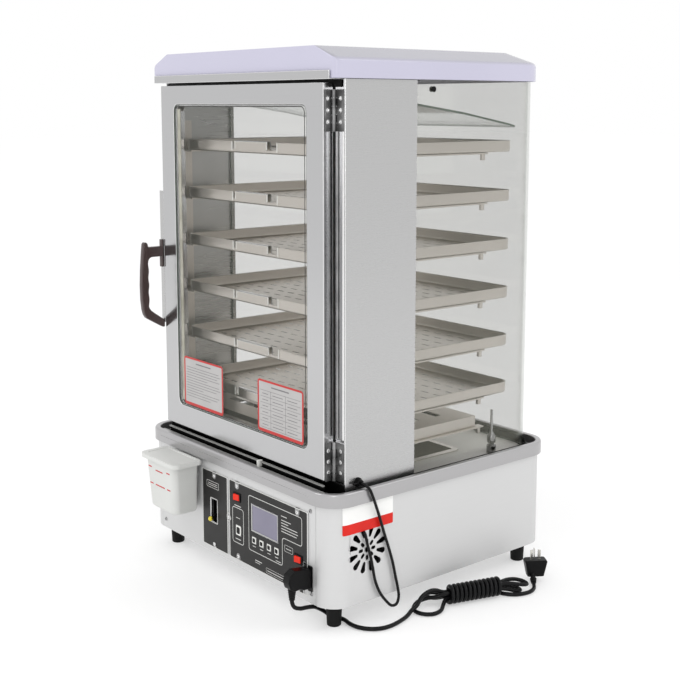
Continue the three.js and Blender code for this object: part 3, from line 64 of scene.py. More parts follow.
# Feet: four tapered black rubber feet, each moulded with a thin collar at its
# top and pressed on a stud under the base.
def paint(code):
    """A colour from its hex code, as the shader wants it."""
    parts = [int(code[i : i + 2], 16) / 255 for i in (1, 3, 5)]
    return (*[c / 12.92 if c < 0.04 else ((c + 0.055) / 1.055) ** 2.4 for c in parts], 1)


def shader_maths(operation, turned=False):
    """An operator that adds a Math node, with its two values turned round on request."""

    def operator(term, other):
        first, second = (other, term) if turned else (term, other)
        return term.finish.node("ShaderNodeMath", {"operation": operation}, {0: first, 1: second})

    return operator


class Term:
    """A shader value: an expression on it adds its own Math nodes."""

    def __init__(self, finish, socket):
        self.finish, self.socket = finish, socket

    __add__, __radd__ = shader_maths("ADD"), shader_maths("ADD", True)
    __sub__, __rsub__ = shader_maths("SUBTRACT"), shader_maths("SUBTRACT", True)
    __mul__, __rmul__ = shader_maths("MULTIPLY"), shader_maths("MULTIPLY", True)
    __pow__, __lt__ = shader_maths("POWER"), shader_maths("LESS_THAN")


class Finish:
    """A material: one Principled shader and what varies it over a surface."""

    def __init__(self, name, colour, roughness, metallic=0.0, **fixed):
        self.material = bpy.data.materials.new(name)
        self.material.use_nodes = True
        self.tree = self.material.node_tree
        self.shader = self.tree.nodes["Principled BSDF"]
        self.colour = paint(colour)
        self.set("Base Color", self.colour)
        self.set("Roughness", roughness)
        self.set("Metallic", metallic)
        for socket, value in fixed.items():
            self.set(socket.replace("_", " "), value)

    def feed(self, socket, value):
        if isinstance(value, Term):
            self.tree.links.new(value.socket, socket)
        else:
            socket.default_value = value

    def set(self, socket, value):
        self.feed(self.shader.inputs[socket], value)

    def node(self, kind, settings, values, output=0):
        made = self.tree.nodes.new(kind)
        for key, value in settings.items():
            setattr(made, key, value)
        for socket, value in values.items():
            self.feed(made.inputs[socket], value)
        return Term(self, made.outputs[output])

    def place(self, scale=(1, 1, 1)):
        """Object coordinates, stretched along the axes."""
        bare = self.node("ShaderNodeTexCoord", {}, {}, "Object")
        return self.node("ShaderNodeMapping", {}, {"Vector": bare, "Scale": scale})

    def cloud(self, scale, detail=2.0, stretch=(1, 1, 1)):
        """Soft noise between 0 and 1, finer with a larger scale."""
        values = {"Vector": self.place(stretch), "Scale": scale, "Detail": detail}
        return self.node("ShaderNodeTexNoise", {}, values)

    def blend(self, share, first, second):
        """A colour between two, by a share from 0 to 1."""
        values = {"Factor": share, 6: first, 7: second}
        return self.node("ShaderNodeMix", {"data_type": "RGBA"}, values, 2)

    def vary_colour(self, share, first, second):
        """Varies the base colour between two hex codes, by a share from 0 to 1."""
        self.set("Base Color", self.blend(share, paint(first), paint(second)))

    def mottle(self, scale, detail, first, second):
        """Varies the base colour between two hex codes in soft patches."""
        self.vary_colour(self.cloud(scale, detail), first, second)

    def vary_gloss(self, least, span, scale, detail):
        """Varies the roughness from its least by a span, in soft patches."""
        self.set("Roughness", least + span * self.cloud(scale, detail))

    def relief(self, height, depth, strength=1.0):
        """Raises the surface by a height from 0 to 1, as deep as depth metres."""
        values = {"Strength": strength, "Distance": depth, "Height": height}
        self.set("Normal", self.node("ShaderNodeBump", {}, values))


def fit(name, bm, finishes, body, *nodes, wall=0.0, edge=0.0, steps=2, sharp=38, outwards=True, trim=-1):
    """A piece from a bmesh, on its body, in place of its solids.

    Its faces are turned outwards, its wall gets a thickness, and its edges are rounded and can
    wear a brighter finish, given by number, as a painted highlight; wall and edge are in millimetres.
    """
    if outwards:
        bmesh.ops.recalc_face_normals(bm, faces=bm.faces)
    for face in bm.faces:
        face.smooth = True
    for line in bm.edges:
        line.smooth = not (line.is_manifold and line.calc_face_angle() > math.radians(sharp))
    mesh = bpy.data.meshes.new(name)
    bm.to_mesh(mesh)
    bm.free()
    made = bpy.data.objects.new(name, mesh)
    bpy.context.scene.collection.objects.link(made)
    for finish in finishes if isinstance(finishes, list) else [finishes]:
        mesh.materials.append(finish.material)
    if wall:
        solidify = made.modifiers.new("wall", "SOLIDIFY")
        solidify.thickness = wall * MM
        solidify.offset = -1
    if edge:
        bevel = made.modifiers.new("edge", "BEVEL")
        bevel.width = edge * MM
        bevel.segments = steps
        bevel.limit_method = "ANGLE"
        bevel.angle_limit = math.radians(sharp)
        bevel.material = trim
    shade = made.modifiers.new("shade", "WEIGHTED_NORMAL")
    shade.keep_sharp = True
    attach(made, body)
    if nodes:
        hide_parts(*nodes)
    return made


def second_finish(piece, test):
    """Gives a piece's second finish to the faces that pass a test, the first to the others."""
    for face in piece.data.polygons:
        face.material_index = int(test(face))


def lathe(bm, profile, place, steps=32):
    """Spins a profile of radii and heights, in millimetres, round the Z axis of a place."""
    rim = [bm.verts.new(place @ Vector((radius * MM, 0, height * MM))) for radius, height in profile]
    lines = [bm.edges.new(pair) for pair in zip(rim, rim[1:])]
    bmesh.ops.spin(
        bm, geom=rim + lines, cent=place.translation, axis=place.col[2].xyz, angle=math.tau,
        steps=steps, use_merge=True,
    )
    bmesh.ops.remove_doubles(bm, verts=bm.verts, dist=WELD)


rubber = Finish("foot_rubber", "#0A0A0A", 0.6, Specular_IOR_Level=0.2)
rubber.vary_gloss(0.5, 0.25, 70, 4)
rubber.relief(rubber.cloud(700, 3), 0.15 * MM, 0.5)
foot_profile = [
    (0, 0), (12.4, 0), (13.5, 1.2), (15.5, 42.6), (16, 43), (16, 46.6), (15.6, 47.4), (0, 47.4),
]
for corner in ("front_left", "front_right", "rear_left", "rear_right"):
    low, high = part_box(f"foot_{corner}")
    bm = bmesh.new()
    middle = (low + high) / 2
    lathe(bm, foot_profile, Matrix.Translation((middle.x, middle.y, 0)), 36)
    fit(f"foot_{corner}_rubber", bm, rubber, "cabinet", f"foot_{corner}")


# Base casing: one stainless sheet folded round the sides and back, open at the
# front, with a rosette of punched slots in its right side for the fan behind it.
def steel_sheet(name, colour, roughness, stretch, tint=0.06, metal=1.0, grain=0.35):
    """Stainless sheet: fine brush lines along one way, and broad faint marks of handling."""
    finish = Finish(name, colour, roughness, metal)
    lines = finish.cloud(700, 3, stretch)
    marks = finish.cloud(4, 3)
    dark = tuple(c * (1 - tint) for c in finish.colour[:3]) + (1,)
    light = tuple(min(1, c * (1 + tint)) for c in finish.colour[:3]) + (1,)
    finish.set("Roughness", roughness - 0.07 + 0.08 * lines + 0.08 * marks)
    finish.set("Base Color", finish.blend(0.45 * lines + 0.55 * marks, dark, light))
    finish.relief(lines, 0.03 * MM, grain)
    return finish


def solid_copy(node):
    """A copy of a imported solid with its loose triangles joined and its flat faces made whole."""
    bm = bmesh.new()
    bm.from_mesh(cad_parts[node].data)
    bmesh.ops.remove_doubles(bm, verts=bm.verts, dist=WELD)
    bmesh.ops.dissolve_limit(bm, angle_limit=math.radians(1), verts=bm.verts, edges=bm.edges)
    return bm


def dressed(name, node, finishes, slot, edge=0.0, body="cabinet", **how):
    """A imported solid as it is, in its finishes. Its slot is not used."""
    fit(name, solid_copy(node), finishes, body, node, edge=edge, **how)


def rounded(bm, corners, radius, steps):
    """Rounds corners of a face by a radius in millimetres, and gives the face."""
    made = bmesh.ops.bevel(
        bm, geom=corners, offset=radius * MM, offset_type="OFFSET", segments=steps, profile=0.5,
        affect="VERTICES", material=-1,
    )
    return made["verts"][0].link_faces[0]


def ring_at(bm, x, y, z, front, rear=None, steps=12, turned=None):
    """A level rectangle as a loop of edges, its front and rear corners rounded by their radii."""
    rear = front if rear is None else rear
    corners = [bm.verts.new(Vector((x[i], y[j], z)) * MM) for i, j in ((0, 0), (1, 0), (1, 1), (0, 1))]
    face = bm.faces.new(corners)
    for pair, radius in ((corners[:2], front), (corners[2:], rear)):
        if radius:
            face = rounded(bm, pair, radius, steps)
    loop = list(face.edges)
    if turned:
        bmesh.ops.transform(bm, matrix=turned, verts=list(face.verts))
    bmesh.ops.delete(bm, geom=[face], context="FACES_ONLY")
    return loop


def skin(bm, loops, *caps):
    """Joins each loop of edges with the next by faces, and closes the loops numbered as caps."""
    for lower, upper in zip(loops, loops[1:]):
        bmesh.ops.bridge_loops(bm, edges=lower + upper)
    for cap in caps:
        bmesh.ops.edgeloop_fill(bm, edges=loops[cap])


def verts_of(geom):
    return [g for g in geom if isinstance(g, bmesh.types.BMVert)]


def raise_faces(bm, faces, way):
    """Draws faces out along a way, and keeps them as the bottom."""
    drawn = bmesh.ops.extrude_face_region(bm, geom=faces, use_keep_orig=True)["geom"]
    bmesh.ops.translate(bm, vec=way, verts=verts_of(drawn))


def punched(bm, outline, holes, way, depth=0.0):
    """A flat sheet inside an outline, its holes left open, drawn out along a way by a depth."""
    filled = bmesh.ops.triangle_fill(bm, use_beauty=True, edges=outline + holes, normal=way)["geom"]
    if depth:
        faces = [g for g in filled if isinstance(g, bmesh.types.BMFace)]
        raise_faces(bm, faces, Vector(way) * depth)


def cut_through(bm, place, way):
    """Cuts all of a bmesh along a plane, and keeps both sides."""
    geom = bm.verts[:] + bm.edges[:] + bm.faces[:]
    bmesh.ops.bisect_plane(bm, geom=geom, dist=ON_CUT, plane_co=place, plane_no=way)


def rim_of(verts):
    """The edges of a loop of verts."""
    return list({line for vert in verts for line in vert.link_edges})


FRONTWARDS = Matrix.Rotation(math.pi / 2, 4, "X")
RIGHTWARDS = Matrix.Rotation(math.pi / 2, 4, "Z") @ FRONTWARDS
base_steel = steel_sheet("base_steel", "#D2D2D2", 0.5, (0.02, 0.02, 1), metal=0.5)
# A bright steel worn by rounded edges, hems and knuckles: a painted highlight along them.
edge_highlight_steel = Finish("edge_highlight_steel", "#E9E9E9", 0.2, 1.0)
edge_highlight_steel.vary_gloss(0.14, 0.14, 200, 2)
vent_centre = Vector((314, -169.5, 146.5))
vent_circles = ((12, 26.5, 39.5, 3.1, 5.8, 0.5), (8, 13, 17, 3.4, 3.4, 0), (1, 0, 0, 5.5, 5.5, 0))
base_front, front_opening = -256, 270.6
bm = bmesh.new()
skin(bm, [ring_at(bm, (-314, 314), (base_front, 326), height, 45, steps=18) for height in (46, 244.6)])
side = max(bm.faces, key=lambda face: face.calc_center_median().x)
side_rim = list(side.edges)
bmesh.ops.delete(bm, geom=[side], context="FACES_ONLY")
slots = []
for count, inner, outer, narrow, wide, first in vent_circles:
    for i in range(count):
        turn = Matrix.Rotation(math.tau * (i + first) / count, 4, "Z")
        place = Matrix.Translation(vent_centre * MM) @ RIGHTWARDS @ turn
        ring = bmesh.ops.create_circle(bm, segments=20, radius=wide * MM)["verts"]
        for vert in ring:
            if vert.co.x < -0.001 * MM:
                vert.co = vert.co * narrow / wide + Vector((inner * MM, 0, 0))
            else:
                vert.co.x += outer * MM
            vert.co = place @ vert.co
        slots += rim_of(ring)
punched(bm, side_rim, slots, (1, 0, 0))
for side in (-1, 1):
    cut_through(bm, (side * front_opening * MM, 0, 0), (1, 0, 0))
front_faces = []
for face in bm.faces:
    middle = face.calc_center_median() / MM
    if middle.y < base_front + 1 and abs(middle.x) < front_opening:
        front_faces.append(face)
bmesh.ops.delete(bm, geom=front_faces, context="FACES")
fit("base_casing", bm, base_steel, "cabinet", "base_wrap", wall=1.5, sharp=30)
# The front sheet's rounded edges wear the bright steel: a painted highlight.
dressed("base_front_sheet", "front_plate", [base_steel, edge_highlight_steel], "steel", 0.6, trim=1)
dressed("base_floor_sheet", "base_floor", base_steel, "steel", 0.3)


# Screws: pan heads with a cross recess, in bright steel. They hold the front
# plate, the two dark panels and the hinge leaves.
polished = Finish("polished_steel", "#A9A9A9", 0.16, 1.0)
polished.vary_gloss(0.1, 0.16, 120, 3)
# Dark and light patches in its colour are painted reflections.
polished.vary_colour(1.6 * polished.cloud(25, 2) - 0.3, "#7E7E7E", "#BDBDBD")
screw_steel = Finish("screw_steel", "#E2E2E2", 0.2, 1.0)
screw_steel.vary_gloss(0.14, 0.16, 150, 3)
head_section = ((1, 0), (1, 0.12), (0.9, 0.32), (0.62, 0.46))
cross_reach, cross_half, cross_depth = 0.46, 0.13, 0.34


def screws(name, places, radius, way, body, finish=None, dome=1):
    """Pan-head screws at places in millimetres, their heads towards a way, flattened by dome.

    The sizes of a head and its cross are shares of its radius.
    """
    bm = bmesh.new()
    for place in places:
        at = Matrix.Translation(Vector(place) * MM) @ way
        rings = []
        for share, rise in head_section:
            lift = at @ Matrix.Translation((0, 0, rise * dome * radius * MM))
            ring = bmesh.ops.create_circle(bm, segments=16, radius=share * radius * MM, matrix=lift)
            rings.append(rim_of(ring["verts"]))
        skin(bm, rings)
        arm, slim = cross_reach * radius * MM, cross_half * radius * MM
        cross = [(slim, slim), (slim, arm), (-slim, arm), (-slim, slim)]
        points = [Matrix.Rotation(math.pi / 2 * k, 2) @ Vector(p) for k in range(4) for p in cross[1:]]
        verts = [bm.verts.new(lift @ Vector((*p, 0))) for p in points]
        recess = [bm.edges.new((a, b)) for a, b in zip(verts, verts[1:] + verts[:1])]
        punched(bm, rings[-1], recess, at.col[2].xyz)
        sunk = bmesh.ops.extrude_edge_only(bm, edges=recess)["geom"]
        floor_verts = verts_of(sunk)
        bmesh.ops.translate(bm, vec=at.col[2].xyz * -cross_depth * dome * radius * MM, verts=floor_verts)
        floor_rim = [
            g for g in sunk if isinstance(g, bmesh.types.BMEdge) and all(v in floor_verts for v in g.verts)
        ]
        bmesh.ops.contextual_create(bm, geom=floor_rim)
    return fit(name, bm, finish or screw_steel, body, sharp=30)


plate_screws = [(-256.3, -256, 64.8), (-260.4, -256, 222.8), (257.7, -256, 64.7), (255.4, -256, 223.2)]
screws("front_plate_screws", plate_screws, 4.2, FRONTWARDS, "cabinet", polished)


# Top pan: a drawn stainless pan that caps the base. Its outer band ends in a
# rolled rim; inside it a gutter catches the condensate round the cabinet.
rim_steel = steel_sheet("rim_steel", "#B0AFB0", 0.3, (0.02, 0.02, 1), 0.03, 0.8)
gutter_level, seal_foot = 246.5, 247.1
bm = bmesh.new()
pan_section = (
    (0, 239), (0, 260.5), (0.5, 263), (1.8, 264.5), (3.6, 265), (9.6, 265), (11.2, 264.4),
    (12, 262.8), (12, 248.2), (12.6, 247), (14, gutter_level),
)
loops = [
    ring_at(bm, (inset - 321, 321 - inset), (inset - 263, 333 - inset), height, 52 - inset, steps=20)
    for inset, height in pan_section
]
loops.append(ring_at(bm, (-200.3, 200.3), (-155.3, 165.3), gutter_level, 6, steps=20))
skin(bm, loops)
pan_floor = steel_sheet("pan_floor", "#E9E8E2", 0.4, (1, 0.03, 0.03), 0.06, 0.15)
for face in bm.faces:
    face.material_index = int(max(vert.co.z for vert in face.verts) < (gutter_level + 0.1) * MM)
fit("top_pan_sheet", bm, [rim_steel, pan_floor], "cabinet", "top_pan", wall=1.5, sharp=50)

# A black ring laid in the gutter stands in for the dark shade and reflection in the trough: painted shade.
# The same black is worn by the seal round the cabinet's foot and by the dark bars along the front.
black_seal_and_shade = Finish("black_seal_and_shade", "#030303", 0.4, Specular_IOR_Level=0.1)
black_seal_and_shade.vary_gloss(0.3, 0.25, 35, 4)
bm = bmesh.new()
outer_ring = ring_at(bm, (-307, 307), (-249, 319), gutter_level + 0.05, 38, steps=16)
inner_ring = ring_at(bm, (-299, 299), (-210.5, 311.5), gutter_level + 0.05, 2, 60, steps=16)
punched(bm, outer_ring, inner_ring, (0, 0, 1), 0.5 * MM)
fit("black_seal_and_shade", bm, black_seal_and_shade, "cabinet")
bm = bmesh.new()
seal_x, seal_y = (-300.2, 300.2), (-211.8, 313.2)
skin(bm, [ring_at(bm, seal_x, seal_y, height, 3, 62, steps=16) for height in (seal_foot, 261.5)])
fit("foot_seal", bm, black_seal_and_shade, "cabinet", wall=1.2)


def bars(name, places, finishes, body):
    """Bars, rounded at their upright edges: x, y, z from and to, and the number of the finish."""
    bm = bmesh.new()
    for x0, x1, y0, y1, low, high, dress in places:
        before = set(bm.faces)
        radius = min(x1 - x0, y1 - y0) * 0.35
        loops = [ring_at(bm, (x0, x1), (y0, y1), height, radius, steps=3) for height in (low, high)]
        skin(bm, loops, 0, 1)
        for face in set(bm.faces) - before:
            face.material_index = dress
    return fit(name, bm, finishes, body, sharp=50)


clip_nylon = Finish("clip_nylon", "#EDEDE9", 0.4)
clip_nylon.vary_gloss(0.34, 0.14, 90, 3)
rail_steel = steel_sheet("rail_steel", "#A2A2A0", 0.4, (0.02, 1, 1), 0.16, 0.2)
# The two bright rails stand on thin black strips, which darken the channel below them as painted shade.
rails = [
    (-268, 268, -237.2, -231.6, 267.7, 269.6, 1), (-268, 268, -233.4, -232.2, seal_foot, 268.4, 0),
    (-284, 284, -246, -238, 257.6, 259.5, 2), (-284, 284, -246, -244.6, seal_foot, 258.4, 0),
    (65, 72, -242, -230.6, 259, 271, 3),
]
bars("channel_rails", rails, [black_seal_and_shade, rail_steel, rail_steel, clip_nylon], "cabinet")
# Black bars behind the gaps under and over the door: painted shade.
gap_shades = [
    (-297.5, 297.5, -211.7, -209.4, seal_foot, 272, 0), (-290, 290, -211.7, -209.4, 989, 1001.8, 0),
]
bars("door_gap_shade", gap_shades, [black_seal_and_shade], "cabinet")
# A thin strip of polished steel across the rim's front, where the rim creases: painted shade and glint of
# the crease.
bars("rim_crease_painted_line", [(-262, 262, -263.15, -262.9, 252.6, 253.3, 0)], [polished], "cabinet")


# Tank, element, drip tray and the fittings that stand on the pan: the water is
# boiled in the tank, and the steam rises past the slotted drip tray.
tray_steel = steel_sheet("tray_steel", "#D6D0C9", 0.3, (1, 0.03, 0.03), 0.08)
element_metal = Finish("element_metal", "#B08D4C", 0.34, 1.0)
element_metal.mottle(90, 4, "#8A6B3A", "#C9A968")
white_plastic = Finish("white_plastic", "#ECECE8", 0.38)
white_plastic.vary_gloss(0.3, 0.16, 60, 3)
dressed("tank_sheet", "water_tank", tray_steel, "steel", 0.4)
dressed("element_tube", "heating_element", element_metal, "element_metal", sharp=65)
dressed("drip_tray_sheet", "drip_tray", tray_steel, "tray_steel", 0.6)
dressed("relief_fitting", "relief_valve", polished, "polished", 0.4)
dressed("level_probe_block", "level_probe", white_plastic, "white_plastic", 0.5)


# Dark panels on the front: printed film on a thin plate, cut round the screws,
# the lever, the rockers, the keys and the inlet, with a bright edge all round that is a painted highlight.
film = Finish("panel_film", "#161514", 0.36, Specular_IOR_Level=0.3)
film.vary_gloss(0.3, 0.14, 40, 4)
film.mottle(14, 3, "#121110", "#1E1D1C")
film.relief(film.cloud(1500, 2), 0.04 * MM, 0.5)
print_white = Finish("print_white", "#D9D9D6", 0.5)
print_white.mottle(300, 2, "#C4C4C1", "#E6E6E3")
facing_front = -0.7
for node, name in (("filler_panel", "filler_film"), ("control_panel", "control_film")):
    plate = fit(name, solid_copy(node), [film, edge_highlight_steel], "cabinet", node, edge=0.7, trim=1)
    # The plate's faces that do not face the front, and its rounded edges, wear the bright steel: a painted
    # highlight.
    second_finish(plate, lambda face: face.normal.y > facing_front)
screw_places = ((-60.8, 211), (21, 211), (218, 211), (-62.3, 66), (24, 66), (219, 66), (-9.5, 138.5))
screws("panel_screws", [(x, -258.4, z) for x, z in screw_places], 4.2, FRONTWARDS, "cabinet")


def flat_ring(bm, x, z, level, *radii, steps=6):
    """A rounded rectangle that faces the front, as a loop of edges."""
    return ring_at(bm, x, z, -level, *radii, steps=steps, turned=FRONTWARDS)


border_wide, washer_wide, washer_foot = 7.8, 6.5, -256.5
washer_places = (
    (-60.8, 203, 219.2, 1, 0), (21, 203, 219.2, 1, 0), (218, 203, 219.2, 1, 0),
    (24, 57.8, 73.6, 0, 1), (219, 57.8, 73.6, 0, 1), (-9.5, 129.5, 147.5, 1, 1),
)
bm = bmesh.new()
for x, low, high, foot, head in washer_places:
    for dress, (wide, level) in enumerate(((border_wide, -258.25), (washer_wide, -258.4))):
        radii = [0.2 + (wide - 0.3) * share for share in (foot, head)]
        gap = border_wide - wide
        before = set(bm.faces)
        across, along = (x - wide, x + wide), (low + gap * foot, high - gap * head)
        loops = [flat_ring(bm, across, along, height, *radii) for height in (washer_foot, level)]
        skin(bm, loops, 1)
        for face in set(bm.faces) - before:
            face.material_index = dress
fit("panel_washers", bm, [print_white, polished], "cabinet")
print_level, print_depth = -258.33, 0.12


def printed_line(bm, points, radius, width):
    """A printed line of even width inside a closed figure with rounded corners."""
    verts = [bm.verts.new(Vector((x, 0, z)) * MM) for x, z in points]
    bm.faces.new(verts)
    face = rounded(bm, verts, radius, 6)
    rims = bmesh.ops.inset_region(
        bm, faces=[face], thickness=width * MM, use_even_offset=True, use_boundary=True,
    )["faces"]
    bmesh.ops.delete(bm, geom=[face], context="FACES")
    raise_faces(bm, rims, (0, -print_depth * MM, 0))


def rules(bm, places, level, depth):
    """Plain printed rules: flat bars given as x from, x to, z from and z to."""
    for x0, x1, z0, z1 in places:
        corners = ((x0, z0), (x1, z0), (x1, z1), (x0, z1))
        face = bm.faces.new([bm.verts.new(Vector((x, level, z)) * MM) for x, z in corners])
        raise_faces(bm, [face], (0, -depth * MM, 0))


bm = bmesh.new()
for figure, radius, width in (
    ([(60.5, 92), (171.7, 92), (171.7, 148), (232.5, 148), (232.5, 204), (60.5, 204)], 6, 1.2),
    ([(-104, 58), (-13, 58), (-13, 219), (-104, 219)], 3, 1.3),
    ([(-6, 58), (249, 58), (249, 219), (-6, 219)], 4, 1.3),
    ([(4.5, 93), (43.3, 93), (43.3, 166.5), (4.5, 166.5)], 6, 1.2),
    ([(-88, 184), (-44, 184), (-44, 198), (-88, 198)], 2.5, 0.8),
    ([(-76, 110.5), (-49, 110.5), (-49, 163.5), (-76, 163.5)], 3, 1.4),
    ([(178, 124), (204, 124), (204, 137), (178, 137)], 2, 0.6),
    ([(118, 62.5), (196, 62.5), (196, 72.5), (118, 72.5)], 1.5, 0.5),
):
    printed_line(bm, figure, radius, width)
bmesh.ops.translate(bm, vec=(0, print_level * MM, 0), verts=bm.verts)
lines = [
    (-83, -49, 188.5, 189.5), (-83, -49, 192.2, 193.2), (12, 34, 169.6, 171.2), (15, 33, 101, 102.5),
    (17, 31, 145, 146.2), (150, 166, 96, 97.2), (82, 104, 76, 77.4), (82, 98, 72, 73),
    (122, 192, 66.6, 67.9), (183, 199, 129.8, 131),
]
lines += [(x - 5, x + 5, 102.5, 103.8) for x in (78.8, 103.4, 128, 152.6)]
for length, height in ((18, 190), (30, 182), (22, 176.5), (50, 171), (52, 165.5), (48, 160)):
    lines.append((168, 168 + length, height, height + 1.3))
rules(bm, lines, print_level, print_depth)
fit("panel_print", bm, print_white, "cabinet")


# Filling valve and lever: a black valve block behind the panel, whose yellow
# lever sticks out through the slot and is pushed down to stop the filling.
black_moulding = Finish("black_moulding", "#060607", 0.34, Specular_IOR_Level=0.15)
black_moulding.vary_gloss(0.26, 0.2, 45, 3)
black_moulding.relief(black_moulding.cloud(1400, 2), 0.08 * MM, 0.5)
yellow_plastic = Finish("yellow_plastic", "#E4D233", 0.4)
yellow_plastic.mottle(80, 3, "#D8C327", "#EFE04A")
dressed("valve_block", "fill_valve", black_moulding, "black_plastic", 0.6)
lever = fit(
    "lever_arm", solid_copy("fill_lever"), [yellow_plastic, black_moulding], "fill_lever_body",
    "fill_lever", edge=0.4, sharp=50,
)
grip_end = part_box("fill_lever")[0].y + 5 * MM  # the grip is 5 mm deep
second_finish(lever, lambda face: face.center.y > grip_end)


# Rocker switches: black snap-in housings with glossy red rockers, given a faint orange glow
# that is painted light; the upper one is for heating, the lower one for power.
# The faint orange emission is painted light that brightens the red.
red_plastic = Finish("rocker_red", "#D01A00", 0.25, Specular_IOR_Level=0.3, Emission_Strength=0.15)
red_plastic.set("Emission Color", paint("#FF3A1A"))
red_plastic.mottle(60, 2, "#C01000", "#E02400")
for switch in ("heater", "power"):
    dressed(f"{switch}_housing", f"{switch}_switch_housing", black_moulding, "black_plastic", 0.5)
    dressed(
        f"{switch}_paddle", f"{switch}_rocker", red_plastic, "red_plastic", 0.6,
        body=f"{switch}_rocker_body", steps=3,
    )


# Display and keys: a grey liquid crystal pane in a pale frame, four small keys
# under it and a larger one at the left, each a white cap with a dark dome.
pale_grey = Finish("pale_grey", "#B4B4B2", 0.5)
pale_grey.mottle(120, 2, "#A8A8A6", "#C0C0BE")
screen_glass = Finish("display_pane", "#7A778A", 0.12, Coat_Weight=0.3)
screen_glass.mottle(12, 2, "#716E82", "#837F93")
screen = fit(
    "display_unit", solid_copy("display_module"), [black_moulding, screen_glass], "cabinet",
    "display_module", edge=0.3,
)
pane_rear = -257 * MM
second_finish(screen, lambda face: face.center.y < pane_rear)
bm = bmesh.new()
frame_rims = []
for inset, radius in ((0, 1.5), (1.4, 0.8)):
    across, along = (71.4 + inset, 156.6 - inset), (133.9 + inset, 187.1 - inset)
    frame_rims.append(flat_ring(bm, across, along, -257.95, radius, steps=4))
punched(bm, *frame_rims, (0, -1, 0), 0.6 * MM)
fit("display_frame", bm, pale_grey, "cabinet")
for name in ("set_key", "key_1", "key_2", "key_3", "key_4"):
    low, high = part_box(name)
    bm = solid_copy(name)
    middle, half = (low + high) / 2 / MM, (high - low) / 2 / MM
    loops = []
    for share, rise in ((0.74, -0.2), (0.74, 0.2), (0.6, 0.6)):
        wide, tall = half.x * share, half.z * share
        across, along = (middle.x - wide, middle.x + wide), (middle.z - tall, middle.z + tall)
        loops.append(flat_ring(bm, across, along, low.y / MM - rise, wide * 0.5, steps=4))
    skin(bm, loops, -1)
    for face in bm.faces:
        face.material_index = int(face.calc_center_median().y < low.y - 0.01 * MM)
    fit(f"{name}_cap", bm, [white_plastic, black_moulding], f"{name}_body", name, edge=0.3)
dressed("inlet_housing", "power_inlet", black_moulding, "black_plastic", 0.5)


# Filling box: a milky polyethylene box that hooks in the front plate, with plain
# red rules for its filling marks, and a lid that lifts off.
milky = Finish("milky_plastic", "#D2D3D0", 0.36, Coat_Weight=0.15)
milky.mottle(9, 3, "#C9CAC7", "#DADBD8")
milky.vary_gloss(0.34, 0.16, 50, 3)
rule_red = Finish("rule_red", "#BE2026", 0.5)
rule_red.mottle(200, 2, "#B01A20", "#CC2A30")
box_rear, box_middle, box_foot, box_top = -265, -163, 124, 231


def box_depth(height):
    """The depth of the box, which grows towards its top."""
    return 55 + 7 * (height - box_foot) / (box_top - box_foot)


bm = bmesh.new()
loops = []
for inset, height in ((7, 124), (2.4, 124.6), (0.6, 127), (0, 131), (0, 226), (-1.6, 227), (-1.6, 231)):
    half = 50 + 6 * (height - box_foot) / (box_top - box_foot) - inset
    across = (box_middle - half, box_middle + half)
    along = (box_rear - box_depth(height) + inset, box_rear - max(inset, 0))
    loops.append(ring_at(bm, across, along, height, 14, 7, steps=8))
skin(bm, loops, 0)
fit("water_box_shell", bm, milky, "water_box_body", "water_box", wall=2.4, edge=0.5)
bm = bmesh.new()
marks = [
    (-206, -193, 212), (-178, -150, 208), (-135, -122, 212), (-204, -191, 176), (-182, -146, 176),
    (-137, -124, 176),
]
for x0, x1, height in marks:
    rules(bm, [(x0, x1, height - 1.3, height + 1.3)], box_rear - box_depth(height) - 0.05, 0.12)
fit("water_box_marks", bm, rule_red, "water_box_body")
bm = solid_copy("water_box")
hooks_front, wall_area = (box_rear + 0.1) * MM, 1000 * MM * MM
walls = [f for f in bm.faces if f.calc_center_median().y < hooks_front or f.calc_area() > wall_area]
bmesh.ops.delete(bm, geom=walls, context="FACES")
fit("water_box_hooks", bm, milky, "water_box_body", edge=0.4)
bm = bmesh.new()
loops = []
for inset, height in (
    (1.6, 227.6), (0, 228.2), (0, 236), (0.5, 236.9), (1.6, 237.3), (12, 237.3), (13, 236.2),
):
    across, along = (inset - 232, -94 - inset), (inset - 333, box_rear - inset / 2)
    loops.append(ring_at(bm, across, along, height, 15 - inset / 2, 7.5 - inset / 3, steps=8))
skin(bm, loops, -1)
fit("water_box_cover", bm, milky, "water_box_lid_body", "water_box_lid", wall=2, edge=0.3)


# Side panels, racks and front frame: folded stainless sheet. The two narrow panels
# stand on the pan, the frame joins them in front and carries the drip lip.
panel_steel = steel_sheet("panel_steel", "#BBBBBB", 0.27, (0.02, 0.02, 1), 0.02, grain=0.05)
door_steel = steel_sheet("door_steel", "#BCBCBD", 0.15, (0.02, 0.02, 1), 0.02)
# The rounded edges of the panels and the frame wear the bright steel: a painted highlight.
for side in ("left", "right"):
    dressed(f"{side}_panel_sheet", f"{side}_side_panel", [panel_steel, edge_highlight_steel], "steel", 0.6, trim=1)
    dressed(f"{side}_rack_frame", f"{side}_tray_rack", tray_steel, "tray_steel", 0.5, sharp=50)
dressed("front_frame_sheet", "front_frame", [door_steel, edge_highlight_steel], "steel", 0.8, trim=1)
# Two strips where the frame folds: a darker one of polished steel and a bright one, the painted reflection
# and highlight of the folds.
fold_painted_lines = [(275, 279.5, -212.5, -209.2, 357, 912, 0), (292.6, 296, -212.6, -209.2, 357, 912, 1)]
bars("frame_fold_painted_lines", fold_painted_lines, [polished, edge_highlight_steel], "cabinet")


